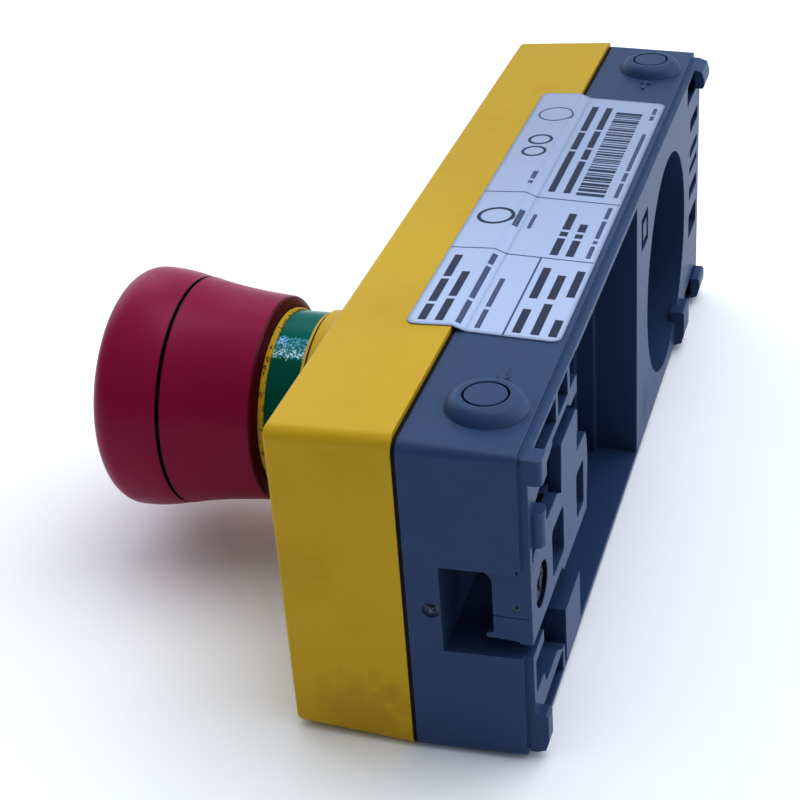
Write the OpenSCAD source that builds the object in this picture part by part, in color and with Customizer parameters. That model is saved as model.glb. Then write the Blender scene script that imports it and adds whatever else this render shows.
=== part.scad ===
// Emergency stop module: a long two-part housing with a mushroom push button on its front.
// Lengths are millimetres. X runs along the housing, -Y is the operator's side, +Y the mounting side,
// +Z the long side that carries the label. The housing lies on its other long side.
// Inside the modules the origin is the middle of the joint between cover and base.

/* [Housing] */
// Length of the housing at the joint
housing_len = 151; // [136:1:185]
// Width of the housing at the joint
housing_w = 53; // [50:0.5:66]
// Height of the cover in front of the joint
cover_h = 18.25; // [17:0.25:24]
// Depth of the base behind the joint
base_d = 18; // [16.5:0.25:24]
// Wall of the cover's sides
cover_wall = 2.2; // [1.6:0.1:2.8]
// Wall of the cover's front
front_wall = 2.4; // [1.6:0.1:3]
// Wall of the base's sides
base_wall = 2.2; // [1.8:0.1:2.8]
// Thickness of the seal between cover and base
seal_t = 0.6; // [0.4:0.1:1]
// How far the base's long sides stand back from the cover's
base_step = 0.4; // [0.2:0.1:0.8]
// How much lower than the cover the outside of the base sits
base_drop = 0.35; // [0:0.05:0.35]
// Draft of the cover at each long side
cover_draft_side = 0.7; // [0:0.1:1.2]
// Draft of the cover at each end
cover_draft_end = 0.45; // [0:0.05:1]
// Draft of the base at each side
base_draft = 0.65; // [0.2:0.05:1]
// Rounding of the upright corners
corner_r = 1.9; // [1.2:0.1:2.6]
// Rounding of the cover's front edge
front_edge_r = 0.9; // [0.5:0.1:1.2]

/* [Button] */
// Distance of the button's axis from the housing's near end
button_from_end = 48.7; // [44:0.1:60]
// Radius of the mounting hole for the button
hole_r = 11.15; // [10.9:0.05:12]
// Radius of the collar around the hole
collar_r = 15.2; // [14.8:0.1:17]
// Height of the collar on the cover's front
collar_h = 8.55; // [5:0.05:12]
// Travel of the button
push_travel = 4.5; // [3:0.25:5]
// Radius of the push stem
stem_r = 6; // [5:0.1:6.3]
// Running clearance of the stem and the head
run_gap = 0.05; // [0.02:0.01:0.1]
// Height of the lit indicator ring
ring_h = 5.2; // [4:0.1:7]
// Height of the marker ring in front of it
marker_h = 1.1; // [0.8:0.1:1.6]

/* [Mushroom head] */
// Largest radius of the head
head_r = 20.1; // [18.5:0.1:24]
// Height of the skirt behind the groove
skirt_h = 14.9; // [13:0.1:18]
// Width of the groove between skirt and cap
groove_w = 0.5; // [0.2:0.1:0.8]
// Height of the cap in front of the groove
cap_h = 12.7; // [11.5:0.1:18]
// Wall of the cap and the skirt
head_wall = 1.6; // [1.2:0.1:2]

/* [Back of the base] */
// Depth of the large pocket
pocket_d = 13.8; // [11:0.1:14.6]
// Radius of the round recess
recess_r = 20.6; // [16:0.1:21.5]
// Distance of the round recess from the far end
recess_from_end = 39.6; // [36:0.1:46]
// Depth of the round recess
recess_d = 13; // [8:0.1:14]
// Web between the round recess and the large pocket
recess_web = 10.3; // [6:0.1:14]
// Length of the slotted field at the near end
slot_field_len = 32; // [28:0.1:36]
// Thickness of the retainer plate
plate_t = 1.85; // [1.4:0.05:2.4]
// Height of the cable channel's floor above the joint
channel_floor = 5.4; // [4.6:0.1:8]
// Height of the corner lugs above the back
lug_h = 2; // [1:0.1:3]

/* [Label and bosses] */
// Length of the label
label_len = 90.7; // [60:0.1:100]
// Width of the label in front of the joint
label_front = 7.1; // [4:0.1:12]
// Width of the label behind the joint
label_back = 15.9; // [10:0.1:16.2]
// Thickness of the label
label_t = 0.15; // [0.1:0.05:0.3]
// Distance of the round bosses from the housing's ends
boss_from_end = 12.1; // [9:0.1:16]
// Radius of the round bosses at their foot
boss_r = 5.6; // [4.5:0.1:6]
// Height of the round bosses
boss_h = 2; // [1:0.1:3]

/* [Electronics] */
// Thickness of the circuit board
board_t = 1.6; // [1:0.1:2]
// Height of the pads under the circuit board
pad_h = 0.6; // [0.4:0.1:1]
// Half the width across the two contact plungers
plunger_pitch = 4; // [3.6:0.1:4.2]

/* [Hidden] */

$fn = 64;
cut = 0.1;
seat_gap = 0.1;
face_gap = 0.03;
blend_fn = 32;

YELLOW = [0.90, 0.72, 0.10];
BLUE_GREY = [0.24, 0.31, 0.48];
CRIMSON = [0.55, 0.10, 0.20];
GREEN = [0.0, 0.45, 0.35];
BLACK = [0.08, 0.08, 0.09];
STEEL = [0.70, 0.71, 0.73];
BRASS = [0.78, 0.62, 0.30];
LABEL = [0.78, 0.83, 0.93];
BOARD = [0.05, 0.35, 0.18];

// Housing outline
half_len = housing_len / 2;
half_w = housing_w / 2;
base_half_len = half_len - 0.1;
base_half_w = half_w - base_step;
rear_corner_r = corner_r / 2;
rear_strip_h = 1.3;
rear_strip_inset = 0.7;
rear_half_len = base_half_len - base_draft;
rear_half_w = base_half_w - base_draft;
back_half_len = rear_half_len - rear_strip_inset;
back_half_w = rear_half_w - rear_strip_inset;
rim_wall = 1;
inner_half_len = half_len - base_wall - 0.4;
inner_half_w = half_w - base_wall - base_step;
tongue_t = 1;
tongue_d = 1.2;

// Depths behind the joint
pocket_y = base_d - pocket_d;
partition_t = 1.8;
tray_y = pocket_y - partition_t;
board_y = tray_y - pad_h;
board_front_h = board_t - board_y;
recess_y = base_d - recess_d;
plate_y = base_d - plate_t;

// Heights in front of the joint, along the button's axis
button_x = half_len - button_from_end;
button_z = 0.2;
wall_inner_h = cover_h - front_wall;
collar_top = cover_h + collar_h;
bezel_seal_top = collar_top + 0.4;
flange_top = bezel_seal_top + 0.5;
ring_top = flange_top + ring_h;
marker_top = ring_top + marker_h;
barrel_top = marker_top + 0.8;
barrel_r = hole_r - 0.15;
barrel_bore_r = stem_r + 2;
barrel_front_r = barrel_bore_r + 3.9;
ring_r = collar_r - 0.5;
marker_r = collar_r - 0.1;
nut_h = 3.5;
barrel_rear = wall_inner_h - nut_h - 0.15;
sleeve_rear = barrel_rear + 4;
sleeve_h = 5.8;
pin_h = sleeve_rear + sleeve_h / 2;
clip_t = 1.2;
stem_rear = sleeve_rear - 2.2;
stem_flange_h = stem_rear + 17;
stem_flange_t = 1.4;
shoulder_h = barrel_top + push_travel + 1.8;
journal_r = stem_r - 1.5;
journal_len = 11;
journal_top = shoulder_h + journal_len;

// Mushroom head
skirt_rear = marker_top + 0.2;
skirt_top = skirt_rear + skirt_h;
cap_rear = skirt_top + groove_w;
cap_top = cap_rear + cap_h;
skirt_front_wall = 1.1;
hub_disc_t = 1.6;
hub_disc_top = skirt_top - skirt_front_wall;
hub_disc_r = head_r - 4.1;
hub_sleeve_r = journal_r + 3;
groove_r = head_r - 1.1;
cap_edge_r = 4;

// Contact block
block_top = stem_rear - push_travel - 0.5;
block_len = 20;
block_z0 = 0.4;
block_z1 = 7.6;
block_wall = 1;
plunger_r = 1.8;
bridge_top = block_top - 1.8;
bridge_t = 0.6;
bridge_w = 2.4;
plunger_foot = bridge_top - bridge_t - 0.6;

// Back of the base, measured from the near end or from the far end
near_field_x = half_len - slot_field_len;
recess_x = recess_from_end - half_len;
recess_z = -1.45;
pocket_far_x = recess_x + recess_r + recess_web;
slot_outer_z = back_half_w - 0.6;
slot_inner_z = slot_outer_z - 4;
field_floor = channel_floor + 0.6;
channel_top_z = 6.75;
channel_low_z = -7.55;
plate_end_z = channel_top_z + 0.6;
rail_t = 1.7;
screw_x = half_len - 7.6;
screw_z = 0.6;
tongue_low_y = plate_y - 3.65;
rail_low_y = plate_y - 5;
head_seat = 2.6;

overall_front = cap_top;
overall_back = base_d + lug_h;
mid_y = (overall_back - overall_front) / 2;

// Lays a part into its resting frame: origin under the middle of the module
module resting() {
  translate([0, -mid_y, half_w]) children();
}

// What belongs to the outside of the base
module lowered() {
  translate([0, 0, -base_drop]) children();
}

// Outline in X and Z, raised from depth y0 to depth y1
module slab(y0, y1) {
  translate([0, y1, 0]) rotate([90, 0, 0]) linear_extrude(y1 - y0) children();
}

// Profile of radius and height in front of the joint, turned about the button's axis
module turned() {
  translate([button_x, 0, button_z]) rotate([90, 0, 0]) rotate_extrude() children();
}

// Placing in front of the joint on the button's axis, with local Z pointing to the operator
module on_axis(h) {
  translate([button_x, -h, button_z]) rotate([90, 0, 0]) children();
}

module tube(r_out, r_in, h0, h1) {
  on_axis(h0) difference() {
    cylinder(r = r_out, h = h1 - h0);
    translate([0, 0, -cut]) cylinder(r = r_in, h = h1 - h0 + 2 * cut);
  }
}

module rounded_rect(half_x, half_z, r) {
  for (s = [-1, 1]) {
    square([2 * half_x, 2 * (half_z - r)], center = true);
    square([2 * (half_x - r), 2 * half_z], center = true);
    for (t = [-1, 1]) translate([s * (half_x - r), t * (half_z - r)]) circle(r = r);
  }
}

module box(x0, x1, y0, y1, z0, z1) {
  translate([min(x0, x1), min(y0, y1), min(z0, z1)])
    cube([abs(x1 - x0), abs(y1 - y0), abs(z1 - z0)]);
}

module rect(x0, x1, z0, z1) {
  translate([min(x0, x1), min(z0, z1)]) square([abs(x1 - x0), abs(z1 - z0)]);
}

// Coil of round wire about Z from height 0 to coil_len, closed by flat wire ends
module coil(coil_r, wire_r, coil_len, turns, steps, sides) {
  count = turns * steps;
  rise = coil_len - 2 * wire_r;
  points = [
    for (i = [0 : count]) for (k = [0 : sides - 1])
      let (turn = 360 * i / steps, side = 360 * k / sides, reach = coil_r + wire_r * cos(side))
      [reach * cos(turn), reach * sin(turn), wire_r + rise * i / count + wire_r * sin(side)]
  ];
  wall = [
    for (i = [0 : count - 1]) for (k = [0 : sides - 1])
      let (next = (k + 1) % sides)
      [i * sides + k, i * sides + next, (i + 1) * sides + next, (i + 1) * sides + k]
  ];
  start = [for (k = [0 : sides - 1]) sides - 1 - k];
  end = [for (k = [0 : sides - 1]) count * sides + k];
  polyhedron(points = points, faces = concat(wall, [start, end]), convexity = 10);
}

// Yellow cover

module cover_shell() {
  end_x = half_len - corner_r;
  side_z = half_w - corner_r;
  rotate([90, 0, 0]) hull() {
    for (s = [-1, 1], t = [-1, 1]) {
      translate([s * end_x, t * side_z, 0]) cylinder(r = corner_r, h = 0.2, $fn = blend_fn);
      translate([s * (end_x - cover_draft_end), t * (side_z - cover_draft_side), cover_h - front_edge_r])
        rotate_extrude($fn = blend_fn) translate([corner_r - front_edge_r, 0])
          circle(r = front_edge_r, $fn = 16);
    }
  }
}

module cover_ribs() {
  rib_t = 1.2;
  for (x = [-half_len / 2, -half_len / 6])
    box(x - rib_t / 2, x + rib_t / 2, -wall_inner_h, -wall_inner_h / 2, -half_w + cover_wall, half_w - cover_wall);
}

module front_cover() {
  color(YELLOW) resting() {
    difference() {
      union() {
        cover_shell();
        on_axis(wall_inner_h) cylinder(r = collar_r, h = collar_top - wall_inner_h);
      }
      difference() {
        slab(-wall_inner_h, cut)
          rounded_rect(half_len - cover_wall - cover_draft_end, half_w - cover_wall - cover_draft_side, 1.2);
        cover_ribs();
      }
      on_axis(wall_inner_h - cut) cylinder(r = hole_r, h = collar_top - wall_inner_h + 2 * cut);
      key_slot(seat_gap);
    }
    cover_tongue();
  }
}

// Rib around the cover's rim that reaches into the base
module cover_tongue() {
  outer_x = inner_half_len - seat_gap;
  outer_z = inner_half_w - seat_gap;
  slab(-wall_inner_h / 2, tongue_d) difference() {
    rounded_rect(outer_x, outer_z, 1);
    rounded_rect(outer_x - tongue_t, outer_z - tongue_t, 0.6);
  }
}

// Turning stop at the top of the mounting hole
module key_slot(gap) {
  key_w = 3.2;
  on_axis(wall_inner_h - cut)
    translate([-key_w / 2 - gap, hole_r - 1, 0])
      cube([key_w + 2 * gap, 1.6 + gap, collar_top - wall_inner_h + 2 * cut]);
}

module cover_gasket() {
  color(BLACK) resting() slab(0, seal_t) difference() {
    translate([0, -base_drop]) rounded_rect(half_len - 0.15, base_half_w - 0.05, corner_r);
    rounded_rect(inner_half_len, inner_half_w, 1);
  }
}

// Blue-grey base

module base_shell() {
  rotate([-90, 0, 0]) hull() {
    for (s = [-1, 1], t = [-1, 1]) {
      translate([s * (base_half_len - corner_r), t * (base_half_w - corner_r), seal_t])
        cylinder(r = corner_r, h = 0.2, $fn = blend_fn);
      translate([s * (rear_half_len - rear_corner_r), t * (rear_half_w - rear_corner_r), base_d - rear_strip_h - 0.2])
        cylinder(r = rear_corner_r, h = 0.2, $fn = blend_fn);
    }
  }
  slab(base_d - rear_strip_h - cut, base_d)
    rounded_rect(back_half_len, back_half_w, rear_corner_r);
}

// Hollow on the joint side: tray for the board, and the space around the round recess
module base_hollow() {
  slab(seal_t - cut, tray_y) rounded_rect(inner_half_len, inner_half_w, 1);
  difference() {
    slab(seal_t, base_d - 2)
      rect(-inner_half_len, pocket_far_x - 2, -inner_half_w + 0.3, inner_half_w - 0.3);
    slab(0, base_d) translate([recess_x, recess_z]) circle(r = recess_r + 1.6);
    for (s = [-1, 1])
      slab(0, base_d) rect(-half_len, far_slot_x1 + 1.6, s * (slot_inner_z - 1.6), s * half_w);
    slab(base_d - 7, base_d) rect(-half_len, far_slot_x1 + 1.6, -12, 20);
  }
  difference() {
    translate([recess_x, 0, recess_z]) rotate([-90, 0, 0]) cylinder(r = recess_r - 1, h = recess_y - 1.6);
    slab(-cut, seal_t) rect(-half_len, half_len, -half_w, half_w);
  }
}

far_slot_x0 = -half_len + 3.5;
far_slot_x1 = -half_len + 17;

module pocket_cut() {
  pocket_half_w = back_half_w - 0.85;
  slab(pocket_y, base_d + cut) rect(pocket_far_x + 3, near_field_x, -pocket_half_w, pocket_half_w);
  slab(pocket_y + 3.4, base_d + cut) rect(pocket_far_x + 1.5, near_field_x, -pocket_half_w, pocket_half_w);
  slab(pocket_y + 6.5, base_d + cut) rect(pocket_far_x, near_field_x, -pocket_half_w, pocket_half_w);
}

// Walls that stay standing in the slotted field, as seen from the back
module field_walls() {
  e = half_len;
  rim_x = e - 2.8;
  // rim and strip towards the label side
  polygon([
    [e - 9.4, slot_inner_z], [near_field_x, slot_inner_z], [near_field_x, slot_inner_z - 2.8],
    [near_field_x + 4.2, slot_inner_z - 2.8], [near_field_x + 6.5, slot_inner_z - 1.3],
    [e - 16, slot_inner_z - 1.3], [e - 16, slot_inner_z - 2], [e - 5.1, slot_inner_z - 4.35],
    [rim_x, slot_inner_z - 4.35], [rim_x, slot_outer_z + 1], [e - 5.4, slot_outer_z + 1],
    [e - 5.4, slot_outer_z]
  ]);
  for (x = [e - 20, e - 27.6]) rect(x, x + 1.4, slot_inner_z - 1, slot_outer_z + 1);
  // strip towards the resting side
  polygon([
    [rim_x, -slot_inner_z], [e - 19.3, -slot_inner_z], [e - 15.5, -slot_inner_z + 2.6],
    [e - 8.6, -slot_inner_z + 2.6], [e - 7.2, -slot_inner_z + 5.2], [rim_x, -slot_inner_z + 5.2]
  ]);
  rect(e - 20.5, e - 19.2, -slot_inner_z, -slot_outer_z - 1);
  // arm beside the channel and the standing post
  rect(rim_x, e - 7.8, channel_low_z - 1.9, channel_low_z);
  rect(near_field_x + 0.3, near_field_x + 10.3, -slot_outer_z - 1, -slot_outer_z + 9.4);
}

module slotted_field() {
  difference() {
    slab(field_floor, base_d + cut)
      rect(near_field_x - cut, half_len - 2.8, -slot_outer_z, slot_outer_z);
    slab(field_floor - cut, base_d + 2 * cut) field_walls();
    channel_rails();
  }
}

// Two rails that carry the retainer plate over the cable channel
module channel_rails() {
  for (z = [channel_low_z - rail_t, channel_top_z])
    box(near_field_x - cut, half_len - 2.6, field_floor - cut, z > 0 ? rail_low_y : plate_y, z, z + rail_t);
  box(near_field_x - cut, half_len - 18, field_floor - cut, plate_y, channel_top_z, channel_top_z + rail_t);
}

module cable_channel() {
  box(near_field_x - cut, half_len + cut, channel_floor, base_d + cut, channel_low_z, channel_top_z);
  box(half_len - 3, half_len + cut, plate_y - seat_gap, base_d + cut, 0, plate_end_z + seat_gap);
}

module far_slots() {
  for (s = [-1, 1])
    slab(base_d - 8, base_d + cut) rect(far_slot_x0, far_slot_x1, s * slot_inner_z, s * slot_outer_z);
  slot_rows = [[14.5, 2.6, 4], [8.8, 1.8, 1.6], [5.2, 1.6, 1.2], [0.2, 2.6, 1.6], [-7, 5, 4]];
  for (row = slot_rows)
    slab(base_d - row[2], base_d + cut)
      translate([far_slot_x0 + 5, row[0]]) rounded_rect(4.6, row[1] / 2, 0.6);
  slab(base_d - 0.8, base_d + cut) difference() {
    rect(pocket_far_x - 10.5, pocket_far_x - 4.4, 13.4, 19.5);
    rect(pocket_far_x - 9, pocket_far_x - 5.9, 14.9, 18);
  }
}

// Lug from x0 to x1 with its outline in Y and Z
module lug(x0, x1) {
  translate([min(x0, x1), 0, 0]) rotate([90, 0, 90]) linear_extrude(abs(x1 - x0)) children();
}

// Outline of a corner lug: straight inside, slanted outside
module corner_lug_outline(inner_z, outer_z, top) {
  out = sign(outer_z);
  polygon([
    [base_d - 1, inner_z], [base_d + top - 0.3, inner_z], [base_d + top, inner_z + 0.6 * out],
    [base_d + top, outer_z - 2.2 * out], [base_d + top - 0.5, outer_z - 0.5 * out],
    [base_d + 0.1, outer_z], [base_d - 1, outer_z]
  ]);
}

module lugs() {
  // near end, label side: rounded towards the end
  translate([0, 0, 20.9]) linear_extrude(back_half_w - 20.9) {
    rect(half_len - 4.7, back_half_len, base_d - 1, base_d + 1.1);
    rect(half_len - 4.7, back_half_len - 0.8, base_d, base_d + 1.9);
    translate([back_half_len - 0.8, base_d + 1.1]) circle(r = 0.8);
  }
  lug(half_len - 3.9, back_half_len) corner_lug_outline(-17.8, -back_half_w, lug_h - 0.15);
  lug(-back_half_len + 1, -back_half_len + 7.6) corner_lug_outline(21, back_half_w, lug_h);
  lug(-back_half_len + 2, -back_half_len + 8) corner_lug_outline(-20.2, -back_half_w, lug_h - 0.1);
  lug(-half_len + 23.5, -half_len + 29.5) corner_lug_outline(-17.4, -back_half_w, lug_h - 0.1);
  // sprung tab beside the retainer plate, with a rounded top
  translate([half_len - 5.5, 0, 10.2]) linear_extrude(5.5) {
    rect(0, 2.9, field_floor - cut, base_d + 0.6);
    translate([1.45, base_d + 0.6]) scale([1, 0.75]) circle(r = 1.45);
  }
}

boss_y = base_d - 8;
boss_base_z = base_half_w - base_draft * (boss_y - seal_t) / (base_d - rear_strip_h - seal_t);
boss_top_z = boss_base_z + boss_h;
plug_r = 3.3;
plug_d = 2.6;

module at_bosses() {
  for (s = [-1, 1]) translate([s * (half_len - boss_from_end), boss_y, -base_drop]) children();
}

// Boss with soft flanks that fall away from its disc
module boss() {
  steps = 8;
  top_r = plug_r + 0.4;
  foot_r = boss_r + 0.4;
  translate([0, 0, boss_base_z]) rotate_extrude() polygon(concat(
    [[0, -1], [foot_r, -1]],
    [for (i = [steps : -1 : 0]) let (t = i / steps) [top_r + (foot_r - top_r) * t, boss_h * (1 - pow(t, 2.4))]],
    [[0, boss_h]]
  ));
}

// Small arrow, its tip at the origin and pointing along +X to the boss
module arrow_outline() {
  polygon([
    [0, 0], [-1.5, 0.9], [-1.3, 0.25], [-4.1, 0.25],
    [-4.1, -0.25], [-1.3, -0.25], [-1.5, -0.9]
  ]);
}

module arrows() {
  for (s = [-1, 1])
    translate([s * (half_len - boss_from_end - 6.5), boss_y + 0.4, boss_base_z - 0.6 - base_drop])
      linear_extrude(0.85) mirror([s < 0 ? 1 : 0, 0]) arrow_outline();
}

// Torn-off moulding stub in a shallow round dip on the near end
module gate_dip() {
  translate([half_len - 0.6, 4, -0.6]) rotate([0, 90, 0]) cylinder(r = 1.3, h = 1);
}

module gate_stub() {
  stub = [[-0.8, -0.3], [-0.1, -0.75], [0.7, -0.4], [0.45, 0.15], [0.8, 0.6], [-0.2, 0.5], [-0.6, 0.85]];
  translate([half_len - 0.9, 4, -0.6]) rotate([90, 0, 90]) linear_extrude(0.62, scale = 0.7) polygon(stub);
}

module base_housing() {
  color(BLUE_GREY) resting() difference() {
    union() {
      difference() {
        lowered() base_shell();
        base_hollow();
        lowered() {
          pocket_cut();
          slotted_field();
          translate([recess_x, recess_y, recess_z]) rotate([-90, 0, 0]) cylinder(r = recess_r, h = recess_d + cut);
          gate_dip();
        }
      }
      lowered() lugs();
      lowered() gate_stub();
      board_pads();
      at_bosses() boss();
      arrows();
    }
    lowered() cable_channel();
    lowered() far_slots();
    at_bosses() translate([0, 0, boss_top_z - plug_d]) cylinder(r = plug_r + face_gap, h = plug_d + cut);
    for (p = screw_places) board_screw_bore(p);
    for (p = pin_places) translate([p[0], tray_y - cut, p[1]]) rotate([-90, 0, 0])
      cylinder(r = pin_bore_r, h = partition_t + 2 * cut);
  }
}

module boss_plugs() {
  color(BLUE_GREY) resting() at_bosses() {
    translate([0, 0, boss_top_z - plug_d]) cylinder(r = plug_r, h = plug_d - 0.9);
    translate([0, 0, boss_top_z - 1]) cylinder(r = plug_r - 0.35, h = 1);
  }
}

// Label over the joint, following both drafted faces
module rating_label() {
  cover_slope = cover_draft_side / cover_h;
  base_slope = base_draft / (base_d - rear_strip_h - seal_t);
  front_z = half_w - cover_slope * label_front;
  back_z = base_half_w - base_drop - base_slope * (label_back - seal_t);
  fold_end = seal_t + 1.4;
  fold_z = base_half_w - base_drop - base_slope * 1.4;
  under = [
    [-label_front, front_z + face_gap], [0, half_w + face_gap],
    [fold_end, fold_z + face_gap], [label_back, back_z + face_gap]
  ];
  over = [for (i = [3 : -1 : 0]) under[i] + [0, label_t]];
  mid_label = (label_back - label_front) / 2;
  label_x = -0.85;
  color(LABEL) resting() intersection() {
    translate([label_x - label_len / 2, 0, 0]) rotate([90, 0, 90]) linear_extrude(label_len)
      polygon(concat(under, over));
    translate([label_x, mid_label, half_w - 5]) linear_extrude(10)
      rounded_rect(label_len / 2, (label_front + label_back) / 2, 1.6);
  }
}

// Retainer plate with its screw

module plate_outline() {
  e = half_len;
  top = channel_top_z + 0.45;
  low = channel_low_z + 0.75;
  difference() {
    polygon([
      [back_half_len - 0.1, low + 1.3], [e - 20, low + 1.3], [e - 21.2, low], [near_field_x - 5.4, low],
      [near_field_x - 6.2, top - 9], [near_field_x - 6.6, top - 5.4], [near_field_x - 6.2, top - 1.8],
      [near_field_x - 5.3, top - 0.1], [near_field_x + 0.7, top + 0.2],
      [near_field_x + 0.7, top + 3.2], [near_field_x, top + 3.4], [near_field_x, top + 6.8],
      [near_field_x + 0.8, top + 7.6], [e - 21.2, top + 7.6], [e - 20.7, top - 0.1], [e - 18.1, top + 1.4],
      [e - 3.6, top + 1.4], [e - 3.2, plate_end_z], [back_half_len - 0.1, plate_end_z]
    ]);
    translate([e - 18, 0.5]) rounded_rect(3.7, 4, 1);
    translate([near_field_x - 1, -0.4]) rounded_rect(2.5, 3.9, 0.8);
  }
}

// Tongue under the plate at the near end, in Y and Z, with lips that flare towards the channel
module tongue_outline() {
  low = tongue_low_y;
  polygon([
    [plate_y + cut, 6.2], [plate_y + cut, -5.2], [low + 0.6, -5], [low - 0.8, -5], [low - 1.05, -4.8],
    [low - 1.1, -4.5], [low - 0.95, -4.25], [low - 0.35, -4.15], [low - 0.1, -4], [low, -3.6],
    [low, 4.3], [low - 0.1, 4.9], [low - 0.35, 5.4], [low - 0.75, 5.8], [low - 1.1, 6.05], [low - 1.1, 6.2]
  ]);
}

module retainer_plate() {
  tongue_x0 = half_len - 13;
  tongue_x1 = back_half_len - 0.1;
  color(BLUE_GREY) resting() lowered() difference() {
    union() {
      slab(plate_y, base_d) plate_outline();
      translate([tongue_x0, 0, 0]) rotate([90, 0, 90]) linear_extrude(tongue_x1 - tongue_x0) tongue_outline();
    }
    translate([screw_x, base_d - head_seat, screw_z]) rotate([-90, 0, 0]) cylinder(r = 3.4, h = head_seat + cut);
    translate([screw_x, tongue_low_y - 2, screw_z]) rotate([-90, 0, 0])
      cylinder(r = 1.5 + run_gap, h = base_d);
    // moulding line and ejector ring on the near end
    box(tongue_x1 - 0.12, half_len, tongue_low_y - 2, base_d - 0.4, -1.25, -1);
    translate([tongue_x1 - 0.15, plate_y - 0.35, 0.57]) rotate([0, 90, 0]) difference() {
      cylinder(r = 0.62, h = 1);
      translate([0, 0, -cut]) cylinder(r = 0.34, h = 2);
    }
  }
}

module retainer_screw() {
  head_seat_y = base_d - head_seat;
  head_turn = [20, 110];
  color(STEEL) resting() lowered() translate([screw_x, 0, screw_z]) rotate([-90, 0, 0]) difference() {
    union() {
      translate([0, 0, tongue_low_y - 0.8]) cylinder(r = 1.5, h = head_seat_y - tongue_low_y + 0.9);
      translate([0, 0, head_seat_y]) cylinder(r = 3.2, h = 1.7);
      translate([0, 0, head_seat_y + 1.7]) cylinder(r1 = 3.2, r2 = 2.8, h = 0.35);
    }
    translate([0, 0, head_seat_y + 0.8]) for (turn = head_turn) rotate([0, 0, turn])
      translate([-2, -0.4, 0]) cube([4, 0.8, 2]);
  }
}

// Button body in the cover

module bezel_seal() {
  color(BLACK) resting() tube(ring_r + 0.2, hole_r + 0.1, collar_top, bezel_seal_top);
}

module actuator_barrel() {
  color(BLACK) resting() difference() {
    union() {
      on_axis(barrel_rear) cylinder(r = barrel_r, h = flange_top - barrel_rear);
      on_axis(bezel_seal_top) cylinder(r = ring_r + 0.05, h = flange_top - bezel_seal_top);
      on_axis(flange_top - cut) cylinder(r = barrel_front_r, h = barrel_top - flange_top + cut);
      intersection() {
        key_slot(-seat_gap);
        tube(hole_r + 1, barrel_r - 1, wall_inner_h + 1, collar_top);
      }
    }
    on_axis(barrel_rear - cut) cylinder(r = barrel_bore_r, h = barrel_top - barrel_rear + 2 * cut);
  }
}

module barrel_nut() {
  nut_r = collar_r - 0.7;
  color(STEEL) resting() difference() {
    tube(nut_r, barrel_r + run_gap, wall_inner_h - nut_h, wall_inner_h);
    on_axis(wall_inner_h - nut_h - cut) for (k = [0 : 7]) rotate([0, 0, 22.5 + 45 * k])
      translate([nut_r - 1.2, -1.2, 0]) cube([3, 2.4, nut_h + 2 * cut]);
  }
}

module led_board() {
  color(BOARD) resting() tube(ring_r - 1.3, barrel_front_r + face_gap, flange_top, flange_top + 0.6);
}

module ring_leds() {
  color(LABEL) resting() on_axis(flange_top + 0.6) for (k = [0 : 7]) rotate([0, 0, 45 * k])
    translate([barrel_front_r + 0.3, -0.6, 0]) cube([0.8, 1.2, 0.6]);
}

module indicator_ring() {
  lip_h = 1;
  color(GREEN) resting() turned() polygon([
    [ring_r - 1.2, flange_top], [ring_r, flange_top], [ring_r, ring_top],
    [barrel_front_r + face_gap, ring_top], [barrel_front_r + face_gap, ring_top - lip_h],
    [ring_r - 1.2, ring_top - lip_h]
  ]);
}

module marker_ring() {
  color(YELLOW) resting() turned() polygon([
    [barrel_front_r + face_gap, ring_top], [marker_r - 0.2, ring_top], [marker_r, ring_top + 0.2],
    [marker_r, marker_top - 0.2], [marker_r - 0.2, marker_top], [barrel_front_r + face_gap, marker_top]
  ]);
}

// Push, latch and release

module latch_sleeve() {
  color(LABEL) resting() difference() {
    tube(barrel_bore_r - face_gap, stem_r + run_gap, sleeve_rear, sleeve_rear + sleeve_h);
    on_axis(pin_h) rotate([0, 90, 0]) translate([0, 0, -barrel_bore_r]) cylinder(r = 0.9, h = 2 * barrel_bore_r);
  }
}

module latch_pins() {
  color(STEEL) resting() on_axis(pin_h) for (s = [0, 180]) rotate([0, 0, s]) rotate([0, 90, 0])
    translate([0, 0, stem_r + 0.1]) cylinder(r = 0.9 - run_gap, h = 1.7);
}

module return_spring() {
  rear = sleeve_rear + sleeve_h;
  wire = 0.4;
  color(STEEL) resting() on_axis(rear + face_gap)
    coil((stem_r + barrel_bore_r) / 2, wire, stem_flange_h - rear - 2 * face_gap, 4, 24, 8);
}

module stem_seal() {
  color(BLACK) resting() turned() polygon([
    [stem_r + run_gap, barrel_top - 1.2], [barrel_bore_r - face_gap, barrel_top - 1.4],
    [barrel_bore_r - face_gap, barrel_top], [stem_r + 0.8, barrel_top],
    [stem_r + run_gap, barrel_top - 0.6]
  ]);
}

module stem_clip() {
  color(STEEL) resting() difference() {
    tube(stem_r + 1.3, stem_r - 0.6 + face_gap, sleeve_rear - clip_t, sleeve_rear);
    on_axis(sleeve_rear - clip_t - cut) translate([-1.2, 0, 0]) cube([2.4, 2 * stem_r, clip_t + 2 * cut]);
  }
}

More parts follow.
